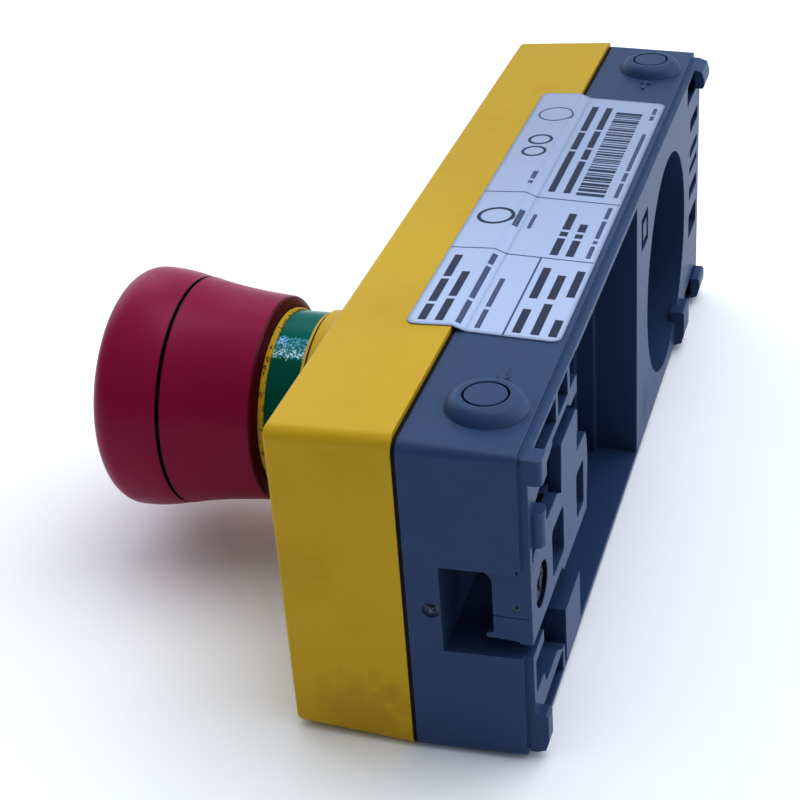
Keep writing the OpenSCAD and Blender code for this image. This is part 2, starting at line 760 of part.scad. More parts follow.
module push_stem() {
  groove_h = pin_h + push_travel;
  color(BLACK) resting() difference() {
    turned() polygon([
      [0, stem_rear], [stem_r - 0.6, stem_rear],
      [stem_r - 0.6, sleeve_rear], [stem_r, sleeve_rear],
      [stem_r, groove_h - 1], [stem_r - 0.5, groove_h - 0.7], [stem_r - 0.5, groove_h + 0.7], [stem_r, groove_h + 1],
      [stem_r, stem_flange_h], [barrel_bore_r - 0.4, stem_flange_h],
      [barrel_bore_r - 0.4, stem_flange_h + stem_flange_t], [stem_r, stem_flange_h + stem_flange_t],
      [stem_r, shoulder_h], [journal_r, shoulder_h], [journal_r, journal_top], [0, journal_top]
    ]);
    on_axis(journal_top - 7) cylinder(r = 1.5 + run_gap, h = 7 + cut);
  }
}

module twist_spring() {
  wire = 0.25;
  color(STEEL) resting() on_axis(shoulder_h - 4.2 - seat_gap)
    coil(stem_r + 0.55 + wire, wire, 4.2, 4, 24, 6);
}

module head_hub() {
  color(CRIMSON) resting() turned() polygon([
    [journal_r + run_gap, shoulder_h], [hub_sleeve_r, shoulder_h],
    [hub_sleeve_r, hub_disc_top - hub_disc_t], [hub_disc_r, hub_disc_top - hub_disc_t],
    [hub_disc_r, hub_disc_top], [hub_sleeve_r, hub_disc_top],
    [hub_sleeve_r, journal_top], [journal_r + run_gap, journal_top]
  ]);
}

module hub_screw() {
  color(STEEL) resting() on_axis(0) difference() {
    union() {
      translate([0, 0, journal_top - 6.5]) cylinder(r = 1.5, h = 6.6);
      translate([0, 0, journal_top]) cylinder(r = journal_r + 1, h = 0.6);
      translate([0, 0, journal_top + 0.6]) cylinder(r1 = 3.1, r2 = 2.4, h = 1.8);
    }
    for (turn = [0, 90]) rotate([0, 0, turn])
      translate([-1.6, -0.3, journal_top + 1.4]) cube([3.2, 0.6, 2]);
  }
}

// Outer line of the skirt: radius at a share of its height, flaring towards the cap
function skirt_r(t) = head_r - 3.2 + 1.2 * t + 0.9 * pow(t, 3);

module mushroom_skirt() {
  steps = 12;
  rim_r = 0.5;
  outer = concat(
    [[skirt_r(0) - rim_r, skirt_rear], [skirt_r(0) - 0.15, skirt_rear + 0.15]],
    [for (i = [0 : steps]) let (t = max(i / steps, rim_r / skirt_h)) [skirt_r(t), skirt_rear + skirt_h * t]]
  );
  inner_top = hub_disc_top;
  inner = [
    for (i = [steps : -1 : 0])
      let (t = i / steps * (inner_top - skirt_rear) / skirt_h)
      [max(skirt_r(t) - head_wall, marker_r + 0.5), skirt_rear + skirt_h * t]
  ];
  color(CRIMSON) resting() turned()
    polygon(concat(outer, [[hub_disc_r - 4, skirt_top], [hub_disc_r - 4, inner_top]], inner));
}

// Line of the cap from its rear edge over the bulging side and the round edge to the middle of the dome
function cap_profile(rear, top, r_side, r_max, shrink) =
  let (edge = cap_edge_r - shrink, steps = 8, dome = 1, tilt = 12, side_h = top - dome - edge)
  concat(
    [for (i = [0 : 5]) let (t = i / 6) [r_max - (r_max - r_side) * pow(1 - t, 2), rear + t * (side_h - rear)]],
    [for (i = [0 : steps]) let (a = i / steps * (90 - tilt))
      [r_max - edge + edge * cos(a), side_h + edge * sin(a)]],
    [for (i = [1 : 4]) let (t = 1 - i / 4, rise = dome + edge * (1 - cos(tilt)))
      [(r_max - edge + edge * sin(tilt)) * t, top - rise * pow(t, 2)]]
  );

module mushroom_cap() {
  tube_r = hub_sleeve_r + 2.1;
  spigot_r = groove_r - 0.7;
  inner_r = groove_r - head_wall;
  roof = cap_top - head_wall;
  color(CRIMSON) resting() turned() {
    difference() {
      union() {
        polygon(concat(cap_profile(cap_rear, cap_top, groove_r, head_r, 0), [[0, cap_rear]]));
        rect(0, spigot_r, skirt_top, cap_rear + cut);
      }
      polygon(concat([[0, skirt_top - cut]], [[inner_r, skirt_top - cut]],
        cap_profile(cap_rear, roof, inner_r, head_r - head_wall, head_wall)));
    }
    rect(tube_r - 1.6, tube_r, hub_disc_top, roof);
  }
}

// Contacts

module contact_block(side) {
  z0 = side > 0 ? block_z0 : -block_z1;
  z1 = side > 0 ? block_z1 : -block_z0;
  rear = -board_front_h;
  x0 = button_x - block_len / 2;
  x1 = button_x + block_len / 2;
  difference() {
    box(x0, x1, -block_top, rear, button_z + z0, button_z + z1);
    box(x0 + block_wall, x1 - block_wall, -block_top + 1.2, rear + cut,
      button_z + z0 + block_wall, button_z + z1 - block_wall);
    on_axis(0) translate([0, side * plunger_pitch, 0]) cylinder(r = plunger_r + run_gap, h = block_top + cut);
  }
}

module contact_block_upper() {
  color(BLACK) resting() contact_block(1);
}

module contact_block_lower() {
  color(BLACK) resting() contact_block(-1);
}

module both_contacts() {
  for (side = [-1, 1]) on_axis(0) translate([0, side * plunger_pitch, 0]) children();
}

module contact_plungers() {
  slot_gap = 0.05;
  color(LABEL) resting() both_contacts() difference() {
    translate([0, 0, plunger_foot]) cylinder(r = plunger_r, h = stem_rear - seat_gap - plunger_foot);
    translate([-5, -bridge_w / 2 - slot_gap, bridge_top - bridge_t - slot_gap])
      cube([10, bridge_w + 2 * slot_gap, bridge_t + 2 * slot_gap]);
  }
}

module contact_bridges() {
  bridge_len = block_len - 2 * block_wall - 3;
  color(BRASS) resting() both_contacts()
    translate([-bridge_len / 2, -bridge_w / 2, bridge_top - bridge_t]) cube([bridge_len, bridge_w, bridge_t]);
}

module fixed_contacts() {
  strip_t = 0.5;
  outer = block_len / 2 - block_wall - seat_gap;
  color(BRASS) resting() both_contacts() for (s = [0, 180]) rotate([0, 0, s]) {
    translate([outer - 3.6, -1.5, bridge_top + 0.05]) cube([3.6, 3, strip_t]);
    translate([outer - strip_t, -1.5, board_front_h]) cube([strip_t, 3, bridge_top + 0.1 - board_front_h]);
  }
}

module contact_springs() {
  wire = 0.2;
  color(STEEL) resting() both_contacts() translate([0, 0, board_front_h + face_gap])
    coil(plunger_r - wire, wire, plunger_foot - board_front_h - 2 * face_gap, 4, 16, 6);
}

// Electronics

board_half_len = inner_half_len - seat_gap - tongue_t - 0.3;
board_half_w = inner_half_w - seat_gap - tongue_t - 0.3;
screw_places = [for (x = [-board_half_len + 5, board_half_len - 5], z = [-board_half_w + 4, board_half_w - 4]) [x, z]];
pin_bore_r = 0.85;
pin_x = button_x - block_len / 2 - 2.2;
pin_places = [for (z = [-9, -3, 3, 9]) [pin_x, z]];

module board_outline() {
  difference() {
    rounded_rect(board_half_len, board_half_w, 1);
    for (p = screw_places) translate(p) circle(r = 1.35);
    for (p = pin_places) translate(p) circle(r = pin_bore_r);
  }
}

// Pads that carry the board, around its screws and along its middle
module board_pads() {
  for (p = screw_places) translate([p[0], board_y, p[1]]) rotate([-90, 0, 0]) cylinder(r = 2.6, h = tray_y + 2 - board_y);
  for (x = [-10, 10]) box(pin_x + x - 1, pin_x + x + 1, board_y, tray_y + cut, -8, 8);
}

module board_screw_bore(p) {
  translate([p[0], board_y - cut, p[1]]) rotate([-90, 0, 0]) cylinder(r = 1.05, h = tray_y + 1.6 - board_y);
}

module circuit_board() {
  color(BOARD) resting() slab(board_y - board_t, board_y) board_outline();
}

module board_screws() {
  head_y = board_y - board_t;
  color(STEEL) resting() for (p = screw_places) translate([p[0], head_y, p[1]]) rotate([90, 0, 0]) difference() {
    union() {
      translate([0, 0, -board_t - 1.9]) cylinder(r = 1, h = board_t + 2);
      cylinder(r = 1.9, h = 1);
      translate([0, 0, 1]) cylinder(r1 = 1.9, r2 = 1.3, h = 0.4);
    }
    for (turn = [0, 90]) rotate([0, 0, turn]) translate([-1.1, -0.2, 0.7]) cube([2.2, 0.4, 1]);
  }
}

// Chip with its legs along the two long sides, standing on the board
module chip(x, z, len, width, thick) {
  front = board_y - board_t;
  leg_pitch = 1.27;
  legs = floor((len - 1) / leg_pitch);
  box(x - len / 2, x + len / 2, front - thick, front, z - width / 2, z + width / 2);
  for (s = [-1, 1], k = [0 : legs - 1])
    translate([x + (k - (legs - 1) / 2) * leg_pitch - 0.2, front - 0.4, z + s * (width / 2 + 0.4) - 0.5])
      cube([0.4, 0.4, 1]);
}

module board_chips() {
  color(BLACK) resting() {
    chip(-half_len / 2, 6, 16, 8, 2.2);
    chip(-half_len / 4, -8, 9, 6, 1.6);
    chip(half_len * 0.72, 4, 9, 6, 1.6);
  }
}

module board_capacitors() {
  color(STEEL) resting() for (x = [-half_len * 0.8, -half_len * 0.66, -half_len * 0.52])
    translate([x, board_y - board_t, -12]) rotate([90, 0, 0]) {
      cylinder(r = 3.1, h = 6.4);
      cylinder(r = 3.3, h = 0.8);
    }
}

// Pointed pins that reach through the floor of the pocket
module piercing_pins() {
  pin_len = 3;
  tip_h = 1.6;
  pin_r = pin_bore_r - run_gap;
  front = board_y - board_t;
  color(BRASS) resting() for (p = pin_places) translate([p[0], front - 0.6, p[1]]) rotate([-90, 0, 0]) {
    cylinder(r = pin_r, h = pocket_y + pin_len - tip_h - front + 0.6);
    translate([0, 0, pocket_y + pin_len - tip_h - front + 0.6]) cylinder(r1 = pin_r, r2 = 0.1, h = tip_h);
    translate([0, 0, -0.3]) cylinder(r = pin_r + 0.6, h = 0.9);
  }
}

front_cover();
cover_gasket();
base_housing();
boss_plugs();
rating_label();
retainer_plate();
retainer_screw();
bezel_seal();
actuator_barrel();
barrel_nut();
led_board();
ring_leds();
indicator_ring();
marker_ring();
latch_sleeve();
latch_pins();
return_spring();
stem_seal();
stem_clip();
push_stem();
twist_spring();
head_hub();
hub_screw();
mushroom_skirt();
mushroom_cap();
contact_block_upper();
contact_block_lower();
contact_plungers();
contact_bridges();
fixed_contacts();
contact_springs();
circuit_board();
board_chips();
board_capacitors();
board_screws();
piercing_pins();
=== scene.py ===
"""Finishes, label, button details and studio stage of an emergency stop module."""

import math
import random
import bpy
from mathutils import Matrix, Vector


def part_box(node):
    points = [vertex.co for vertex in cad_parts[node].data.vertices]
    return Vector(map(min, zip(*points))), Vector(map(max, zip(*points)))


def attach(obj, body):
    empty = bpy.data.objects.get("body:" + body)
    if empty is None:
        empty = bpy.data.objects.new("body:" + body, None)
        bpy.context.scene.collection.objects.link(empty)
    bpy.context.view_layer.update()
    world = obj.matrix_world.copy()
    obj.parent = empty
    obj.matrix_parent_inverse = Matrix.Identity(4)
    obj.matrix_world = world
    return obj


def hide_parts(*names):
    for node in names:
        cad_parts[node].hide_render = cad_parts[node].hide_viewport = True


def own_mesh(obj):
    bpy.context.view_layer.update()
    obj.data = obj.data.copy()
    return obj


bl_info = {
    "name": "Emergency Stop Module",
    "version": (1, 0, 0),
    "blender": (4, 5, 0),
    "location": "3D View > Sidebar > Stop Module",
    "description": "Dresses the packed emergency stop module and puts it on a pale studio floor",
    "category": "Object",
}

import bpy
from bpy.props import FloatProperty, FloatVectorProperty, IntProperty, PointerProperty
from bpy.types import Operator, Panel, PropertyGroup
from mathutils import Matrix, Vector

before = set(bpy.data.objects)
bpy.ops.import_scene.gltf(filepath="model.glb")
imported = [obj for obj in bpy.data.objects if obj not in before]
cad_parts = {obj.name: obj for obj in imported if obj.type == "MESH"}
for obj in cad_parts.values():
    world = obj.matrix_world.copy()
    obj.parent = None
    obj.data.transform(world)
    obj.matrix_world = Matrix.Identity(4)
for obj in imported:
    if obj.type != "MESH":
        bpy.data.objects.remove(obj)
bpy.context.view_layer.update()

MM = 0.001

# The joint plane between cover and base, the middle of the housing's width, and the button's axis
JOINT_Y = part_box("cover_gasket")[0].y
MIDDLE_Z = (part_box("front_cover")[0].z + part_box("front_cover")[1].z) / 2
RING_LOW, RING_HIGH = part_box("indicator_ring")
AXIS = Vector(((RING_LOW.x + RING_HIGH.x) / 2, 0, (RING_LOW.z + RING_HIGH.z) / 2))


def place(x, y, z):
    """A point in millimetres from the middle of the joint plane, in metres in the row frame."""
    return Vector((x * MM, JOINT_Y + y * MM, MIDDLE_Z + z * MM))


def on_axis(height):
    """A point on the button's axis, its height in millimetres in front of the joint."""
    return Vector((AXIS.x, JOINT_Y - height * MM, AXIS.z))


# ---- Sizes and colours that a user would change


def colour_property(name, description, default):
    return FloatVectorProperty(
        name=name, description=description, default=default, size=3, subtype="COLOR", min=0, max=1
    )


def number_property(name, description, default, **kind):
    return FloatProperty(name=name, description=description, default=default, min=0, **kind)


def length_property(name, description, default):
    return number_property(name, description, default, subtype="DISTANCE", unit="LENGTH")


def power_property(name, description, default):
    return number_property(name, description, default, unit="POWER")


class HousingFinish(PropertyGroup):
    cover_yellow: colour_property("Cover yellow", "Colour of the front cover", (0.566, 0.377, 0.026))
    base_blue: colour_property("Base blue", "Colour of the back housing", (0.051, 0.087, 0.174))
    seal_black: colour_property("Seal black", "Colour of the rubber seals", (0.012, 0.012, 0.014))
    edge_radius: length_property("Edge radius", "Rounding that light finds on edges", 0.22 * MM)
    grime: number_property("Grime", "Handling dirt on the cover", 0.5, subtype="FACTOR", max=1)


class ButtonFinish(PropertyGroup):
    crimson: colour_property("Crimson", "Colour of the mushroom head", (0.275, 0.009, 0.064))
    ring_green: colour_property("Ring green", "Colour of the glossy indicator ring", (0.0, 0.150, 0.120))
    mark_count: IntProperty(
        name="Marks", description="Dark marks around the marker ring", default=80, min=4, max=160
    )
    # grain of the painted glints in the ring's band of painted highlight
    glint_size: length_property("Sparkle size", "Grain of the painted glints on the ring", 0.36 * MM)


class LabelFinish(PropertyGroup):
    film: colour_property("Film", "Colour of the label film", (0.328, 0.380, 0.520))
    ink: colour_property("Ink", "Colour of the printed bars", (0.035, 0.045, 0.085))
    ink_height: length_property("Ink height", "How far the ink stands on the film", 0.03 * MM)


class StageSetup(PropertyGroup):
    floor: colour_property("Floor", "Colour of the studio floor", (0.97, 0.97, 0.975))
    key_power: power_property("Key light", "Power of the large light overhead", 2.66)
    fill_power: power_property("Back fill", "Power of the light on the mounting side", 1.4)
    front_power: power_property("Front fill", "Power of the light on the button side", 1.6)
    lens: number_property("Lens", "Focal length that matches the photograph", 79.37, unit="CAMERA")


# ---- Shader node groups


FLOAT, VECTOR = "NodeSocketFloat", "NodeSocketVector"


def new_group(name, inputs, outputs=("Mask",)):
    """An empty shader node group. An input without a default value is a vector, and so is Normal."""
    group = bpy.data.node_groups.new(name, "ShaderNodeTree")
    for label, default in inputs.items():
        kind = VECTOR if default is None else FLOAT
        socket = group.interface.new_socket(label, in_out="INPUT", socket_type=kind)
        if default is not None:
            socket.default_value = default
    for label in outputs:
        kind = VECTOR if label == "Normal" else FLOAT
        group.interface.new_socket(label, in_out="OUTPUT", socket_type=kind)
    return group, group.nodes.new("NodeGroupInput"), group.nodes.new("NodeGroupOutput")


def add_node(tree, kind, links=None, settings=None, values=None):
    """A node with its settings, its socket values and its incoming links."""
    node = tree.nodes.new(kind)
    for key, value in (settings or {}).items():
        setattr(node, key, value)
    for key, value in (values or {}).items():
        node.inputs[key].default_value = value
    for key, source in (links or {}).items():
        tree.links.new(source, node.inputs[key])
    return node


def math_node(tree, operation, first, second=None, clamp=False):
    """The result of a sum on sockets or plain numbers."""
    node = tree.nodes.new("ShaderNodeMath")
    node.operation = operation
    node.use_clamp = clamp
    for index, value in enumerate((first, second)):
        if value is None:
            continue
        if isinstance(value, (int, float)):
            node.inputs[index].default_value = value
        else:
            tree.links.new(value, node.inputs[index])
    return node.outputs[0]


def vector_node(tree, operation, first, second=None):
    """A node that does a sum on vectors."""
    links = {0: first} if second is None else {0: first, 1: second}
    return add_node(tree, "ShaderNodeVectorMath", links, {"operation": operation})


def step_between(tree, value, low, high):
    """0 below low and 1 above high, smooth between them."""
    node = add_node(
        tree,
        "ShaderNodeMapRange",
        {"Value": value},
        {"interpolation_type": "SMOOTHSTEP"},
        {"From Min": low, "From Max": high},
    )
    return node.outputs["Result"]


def noise(tree, vector, scale, detail=3.0, roughness=0.5):
    """Noise whose features are about 1/scale metres across."""
    links = {"Vector": vector}
    values = {"Detail": detail, "Roughness": roughness}
    if isinstance(scale, (int, float)):
        values["Scale"] = scale
    else:
        links["Scale"] = scale
    return add_node(tree, "ShaderNodeTexNoise", links, None, values).outputs["Fac"]


def make_grain_group():
    """Fine moulded grain over a slow waviness: a height between 0 and 1."""
    sockets = {"Vector": None, "Fine": 6000.0, "Slow": 260.0, "Slow Share": 0.4}
    group, source, out = new_group("moulded_grain", sockets, ("Height",))
    fine = noise(group, source.outputs["Vector"], source.outputs["Fine"], 2.0, 0.6)
    slow = noise(group, source.outputs["Vector"], source.outputs["Slow"], 1.0)
    share = source.outputs["Slow Share"]
    mixed = add_node(group, "ShaderNodeMix", {"Factor": share, "A": fine, "B": slow})
    group.links.new(mixed.outputs["Result"], out.inputs["Height"])
    return group


def make_edge_group():
    """Edges as light finds them: a rounded normal, and a mask of the edges."""
    group, source, out = new_group("rounded_edges", {"Radius": 0.0002}, ("Normal", "Edge"))
    bevel = add_node(group, "ShaderNodeBevel", {"Radius": source.outputs["Radius"]}, {"samples": 6})
    geometry = group.nodes.new("ShaderNodeNewGeometry")
    dot = vector_node(group, "DOT_PRODUCT", bevel.outputs["Normal"], geometry.outputs["Normal"])
    edge = step_between(group, math_node(group, "SUBTRACT", 1.0, dot.outputs["Value"]), 0.01, 0.12)
    group.links.new(bevel.outputs["Normal"], out.inputs["Normal"])
    group.links.new(edge, out.inputs["Edge"])
    return group


def make_smudge_group():
    """Cloudy handling marks: a mask between 0 and 1."""
    group, source, out = new_group("smudges", {"Vector": None, "Scale": 90.0, "Cover": 0.45})
    vector, scale = source.outputs["Vector"], source.outputs["Scale"]
    cloud = noise(group, vector, scale, 4.0, 0.62)
    wipe = noise(group, vector, math_node(group, "MULTIPLY", scale, 6.0), 2.0)
    low = math_node(group, "SUBTRACT", 0.75, math_node(group, "MULTIPLY", source.outputs["Cover"], 0.4))
    spread = math_node(group, "DIVIDE", math_node(group, "SUBTRACT", cloud, low), 0.16, clamp=True)
    mask = math_node(group, "MULTIPLY", spread, math_node(group, "ADD", wipe, 0.35), clamp=True)
    group.links.new(mask, out.inputs["Mask"])
    return group


def make_speck_group():
    """Scattered tiny specks: a mask between 0 and 1."""
    sockets = {"Vector": None, "Scale": 400.0, "Size": 0.1, "Share": 0.1}
    group, source, out = new_group("specks", sockets)
    links = {"Vector": source.outputs["Vector"], "Scale": source.outputs["Scale"]}
    cells = add_node(group, "ShaderNodeTexVoronoi", links)
    near = math_node(group, "LESS_THAN", cells.outputs["Distance"], source.outputs["Size"])
    split = add_node(group, "ShaderNodeSeparateColor", {"Color": cells.outputs["Color"]})
    chosen = math_node(group, "LESS_THAN", split.outputs["Red"], source.outputs["Share"])
    group.links.new(math_node(group, "MULTIPLY", near, chosen), out.inputs["Mask"])
    return group


def make_patch_group():
    """A ragged patch around one place: 1 in its middle, 0 outside."""
    sockets = {"Vector": None, "Centre": None, "Reach": 0.01, "Ragged": 300.0}
    group, source, out = new_group("ragged_patch", sockets)
    away = vector_node(group, "DISTANCE", source.outputs["Vector"], source.outputs["Centre"])
    share = math_node(group, "DIVIDE", away.outputs["Value"], source.outputs["Reach"])
    torn = noise(group, source.outputs["Vector"], source.outputs["Ragged"], 3.0, 0.6)
    shift = math_node(group, "MULTIPLY", math_node(group, "SUBTRACT", torn, 0.5), 1.6)
    edge = math_node(group, "ADD", share, shift)
    mask = math_node(group, "SUBTRACT", 1.0, step_between(group, edge, 0.35, 1.0))
    group.links.new(mask, out.inputs["Mask"])
    return group


def make_zone_group():
    """A round zone about an axis: 1 between two radii. Across is 0 along the axis, 1 elsewhere."""
    sockets = {"Vector": None, "Centre": None, "Across": None}
    sockets |= {"Inner": 0.0, "Outer": 0.001, "Soft": 0.00005}
    group, source, out = new_group("round_zone", sockets)
    away = vector_node(group, "SUBTRACT", source.outputs["Vector"], source.outputs["Centre"])
    flat = vector_node(group, "MULTIPLY", away.outputs[0], source.outputs["Across"])
    reach = vector_node(group, "LENGTH", flat.outputs[0]).outputs["Value"]
    soft = source.outputs["Soft"]
    room_inside = math_node(group, "SUBTRACT", source.outputs["Outer"], reach)
    room_beyond = math_node(group, "SUBTRACT", reach, source.outputs["Inner"])
    inside = math_node(group, "DIVIDE", room_inside, soft, clamp=True)
    beyond = math_node(group, "DIVIDE", room_beyond, soft, clamp=True)
    group.links.new(math_node(group, "MULTIPLY", inside, beyond), out.inputs["Mask"])
    return group


def shared(name):
    """The shader node group of that name, built once."""
    makers = {
        "moulded_grain": make_grain_group,
        "rounded_edges": make_edge_group,
        "smudges": make_smudge_group,
        "specks": make_speck_group,
        "ragged_patch": make_patch_group,
        "round_zone": make_zone_group,
    }
    return bpy.data.node_groups.get(name) or makers[name]()


def use_group(tree, name, links=None, values=None):
    """A shared group placed in a material, with its own links and values."""
    return add_node(tree, "ShaderNodeGroup", links, {"node_tree": shared(name)}, values)


# ---- Materials


class Finish:
    """A material under construction: its tree, its Principled shader and its Object coordinates."""

    def __init__(self, name, colour, roughness, metallic=0.0, **sockets):
        self.material = bpy.data.materials.new(name)
        self.material.use_nodes = True
        self.tree = self.material.node_tree
        self.tree.nodes.clear()
        self.shader = self.tree.nodes.new("ShaderNodeBsdfPrincipled")
        output = self.tree.nodes.new("ShaderNodeOutputMaterial")
        self.tree.links.new(self.shader.outputs[0], output.inputs[0])
        self.shader.inputs["Base Color"].default_value = (*colour, 1)
        self.shader.inputs["Roughness"].default_value = roughness
        self.shader.inputs["Metallic"].default_value = metallic
        for key, value in sockets.items():
            label = key.replace("_", " ").title().replace("Ior", "IOR")
            self.shader.inputs[label].default_value = value
        self.roughness = roughness
        self.here = self.tree.nodes.new("ShaderNodeTexCoord").outputs["Object"]
        self.colour = add_node(self.tree, "ShaderNodeRGB").outputs[0]
        self.colour.default_value = (*colour, 1)
        self.height, self.depth = None, 0.0
        self.normal = None

    def blend(self, mask, colour, amount=1.0):
        """Mixes another colour into the base colour where the mask says."""
        factor = mask if amount == 1.0 else math_node(self.tree, "MULTIPLY", mask, amount)
        links = {"Factor": factor, 6: self.colour}
        mix = add_node(self.tree, "ShaderNodeMix", links, {"data_type": "RGBA"})
        mix.inputs[7].default_value = (*colour, 1)
        self.colour = mix.outputs[2]

    def mottle(self, scale, amount):
        """Slow light and dark variation of the base colour."""
        cloud = noise(self.tree, self.here, scale, 2.0)
        limits = {"To Min": 1 - amount, "To Max": 1 + amount}
        spread = add_node(self.tree, "ShaderNodeMapRange", {"Value": cloud}, None, limits)
        node = vector_node(self.tree, "SCALE", self.colour)
        self.tree.links.new(spread.outputs["Result"], node.inputs["Scale"])
        self.colour = node.outputs[0]

    def paint_far_end_shade(self, colour, share):
        """Painted shade: the plastic is darkened towards the end without the button."""
        far = math_node(self.tree, "SUBTRACT", 1.0, self.towards_button(-34, 26))
        self.blend(far, tuple(part * share for part in colour))

    def towards_button(self, start, end):
        """0 at the start and 1 at the end, both in millimetres along the housing."""
        along = add_node(self.tree, "ShaderNodeSeparateXYZ", {"Vector": self.here}).outputs["X"]
        return step_between(self.tree, along, place(start, 0, 0).x, place(end, 0, 0).x)

    def grain(self, fine, depth, slow=260.0, share=0.4):
        """Moulded grain as a bump, its depth in metres."""
        values = {"Fine": fine, "Slow": slow, "Slow Share": share}
        group = use_group(self.tree, "moulded_grain", {"Vector": self.here}, values)
        self.height, self.depth = group.outputs["Height"], depth

    def edges(self, radius, colour=None, amount=0.0):
        """Rounded edges, with an optional tone along them; the lighter tones used here are painted edge
        highlights, partly edge wear.
        """
        group = use_group(self.tree, "rounded_edges", None, {"Radius": radius})
        self.normal = group.outputs["Normal"]
        if colour:
            self.blend(group.outputs["Edge"], colour, amount)

    def mask(self, group, **values):
        """The mask of a shared group, placed with these values."""
        return use_group(self.tree, group, {"Vector": self.here}, values).outputs["Mask"]

    def zone(self, centre, across, inner, outer, soft=0.05):
        """The mask of a round zone, its radii in millimetres. An inner radius of -1 fills it."""
        radii = {"Inner": inner * MM, "Outer": outer * MM, "Soft": soft * MM}
        return self.mask("round_zone", Centre=centre, Across=across, **radii)

    def band(self, axis, low, high, soft=0.05):
        """The mask of a band between two coordinates in metres along X, Y or Z."""
        part = add_node(self.tree, "ShaderNodeSeparateXYZ", {"Vector": self.here}).outputs[axis]
        above = step_between(self.tree, part, low - soft * MM, low)
        below = step_between(self.tree, part, high, high + soft * MM)
        return math_node(self.tree, "MULTIPLY", above, math_node(self.tree, "SUBTRACT", 1.0, below))

    def height_band(self, heights, soft):
        """The mask of a band between two heights on the button's axis."""
        return self.band(1, on_axis(heights[1]).y, on_axis(heights[0]).y, soft)

    def both(self, first, second):
        """Where both masks are 1."""
        return math_node(self.tree, "MULTIPLY", first, second)

    def rough_where(self, mask, amount):
        """Roughness grows by amount where the mask is 1."""
        added = math_node(self.tree, "MULTIPLY", mask, amount)
        total = math_node(self.tree, "ADD", added, self.roughness, clamp=True)
        self.tree.links.new(total, self.shader.inputs["Roughness"])

    def done(self):
        """Joins colour, bump and rounded edges to the shader, and gives the material."""
        self.tree.links.new(self.colour, self.shader.inputs["Base Color"])
        if self.height is not None:
            links = {"Height": self.height}
            if self.normal is not None:
                links["Normal"] = self.normal
            bump = add_node(self.tree, "ShaderNodeBump", links, None, {"Distance": self.depth})
            self.normal = bump.outputs["Normal"]
        if self.normal is not None:
            self.tree.links.new(self.normal, self.shader.inputs["Normal"])
        return self.material


def wear(material, *names):
    """Puts one material on every slot of these objects."""
    for name in names:
        piece = bpy.data.objects[name]
        piece.data.materials.clear()
        piece.data.materials.append(material)


# Round smudges on the cover: middle, reach in metres, tone and strength
COVER_STAINS = (
    (place(75.4, -7.0, -22.5), 0.0095, (0.30, 0.17, 0.02), 0.26),
    (place(75.4, -15.5, 3.0), 0.0080, (0.40, 0.25, 0.03), 0.16),
    (place(75.4, -5.0, 21.0), 0.0070, (0.36, 0.23, 0.03), 0.10),
    (place(40.0, -12.0, 26.4), 0.0140, (0.48, 0.31, 0.04), 0.20),
)


def cover_yellow_finish(look):
    """Yellow moulded plastic with handling marks, stains and a few specks."""
    finish = Finish("cover_yellow", look.cover_yellow, 0.42, specular_ior_level=0.22)
    # painted shade, darker towards the far end
    finish.paint_far_end_shade(look.cover_yellow, 0.89)
    finish.mottle(35.0, 0.05)
    smudge = finish.mask("smudges", Scale=85.0, Cover=look.grime)
    finish.blend(smudge, (0.36, 0.21, 0.03), 0.12)
    for centre, reach, tone, amount in COVER_STAINS:
        finish.blend(finish.mask("ragged_patch", Centre=centre, Reach=reach), tone, amount)
    finish.blend(finish.mask("specks", Scale=230.0, Size=0.06, Share=0.16), (0.10, 0.06, 0.015), 0.6)
    # painted highlight along the edges, partly edge wear
    finish.edges(look.edge_radius, (0.70, 0.46, 0.03), 0.3)
    finish.grain(7000.0, 0.00002)
    finish.rough_where(smudge, 0.12)
    return finish.done()


# Half the housing's length in millimetres, and a coordinate in metres past the part
HALF_LENGTH = 75.5
PAST_PART = 1.0
# Where the moulding's marks and the screw lie, and the two ends of the screw recess's wall that gets
# painted shade
GATE_MARK = place(HALF_LENGTH, 4, -0.95)
EJECTOR_MARK = place(HALF_LENGTH, 15.8, 0.22)
SCREW_CENTRE = place(67.9, 16, 0.25)
SCREW_RECESS_SHADE_SPAN = (place(0, 15.2, 0).y, place(0, 17.85, 0).y)
# Single dark specks: middle, and radius in millimetres
DARK_SPECKS = (
    (place(HALF_LENGTH, 12.9, 6.3), 0.35),
    (place(HALF_LENGTH, 10.4, -16.6), 0.30),
    (place(35.8, 15.6, 24.6), 0.35),
)


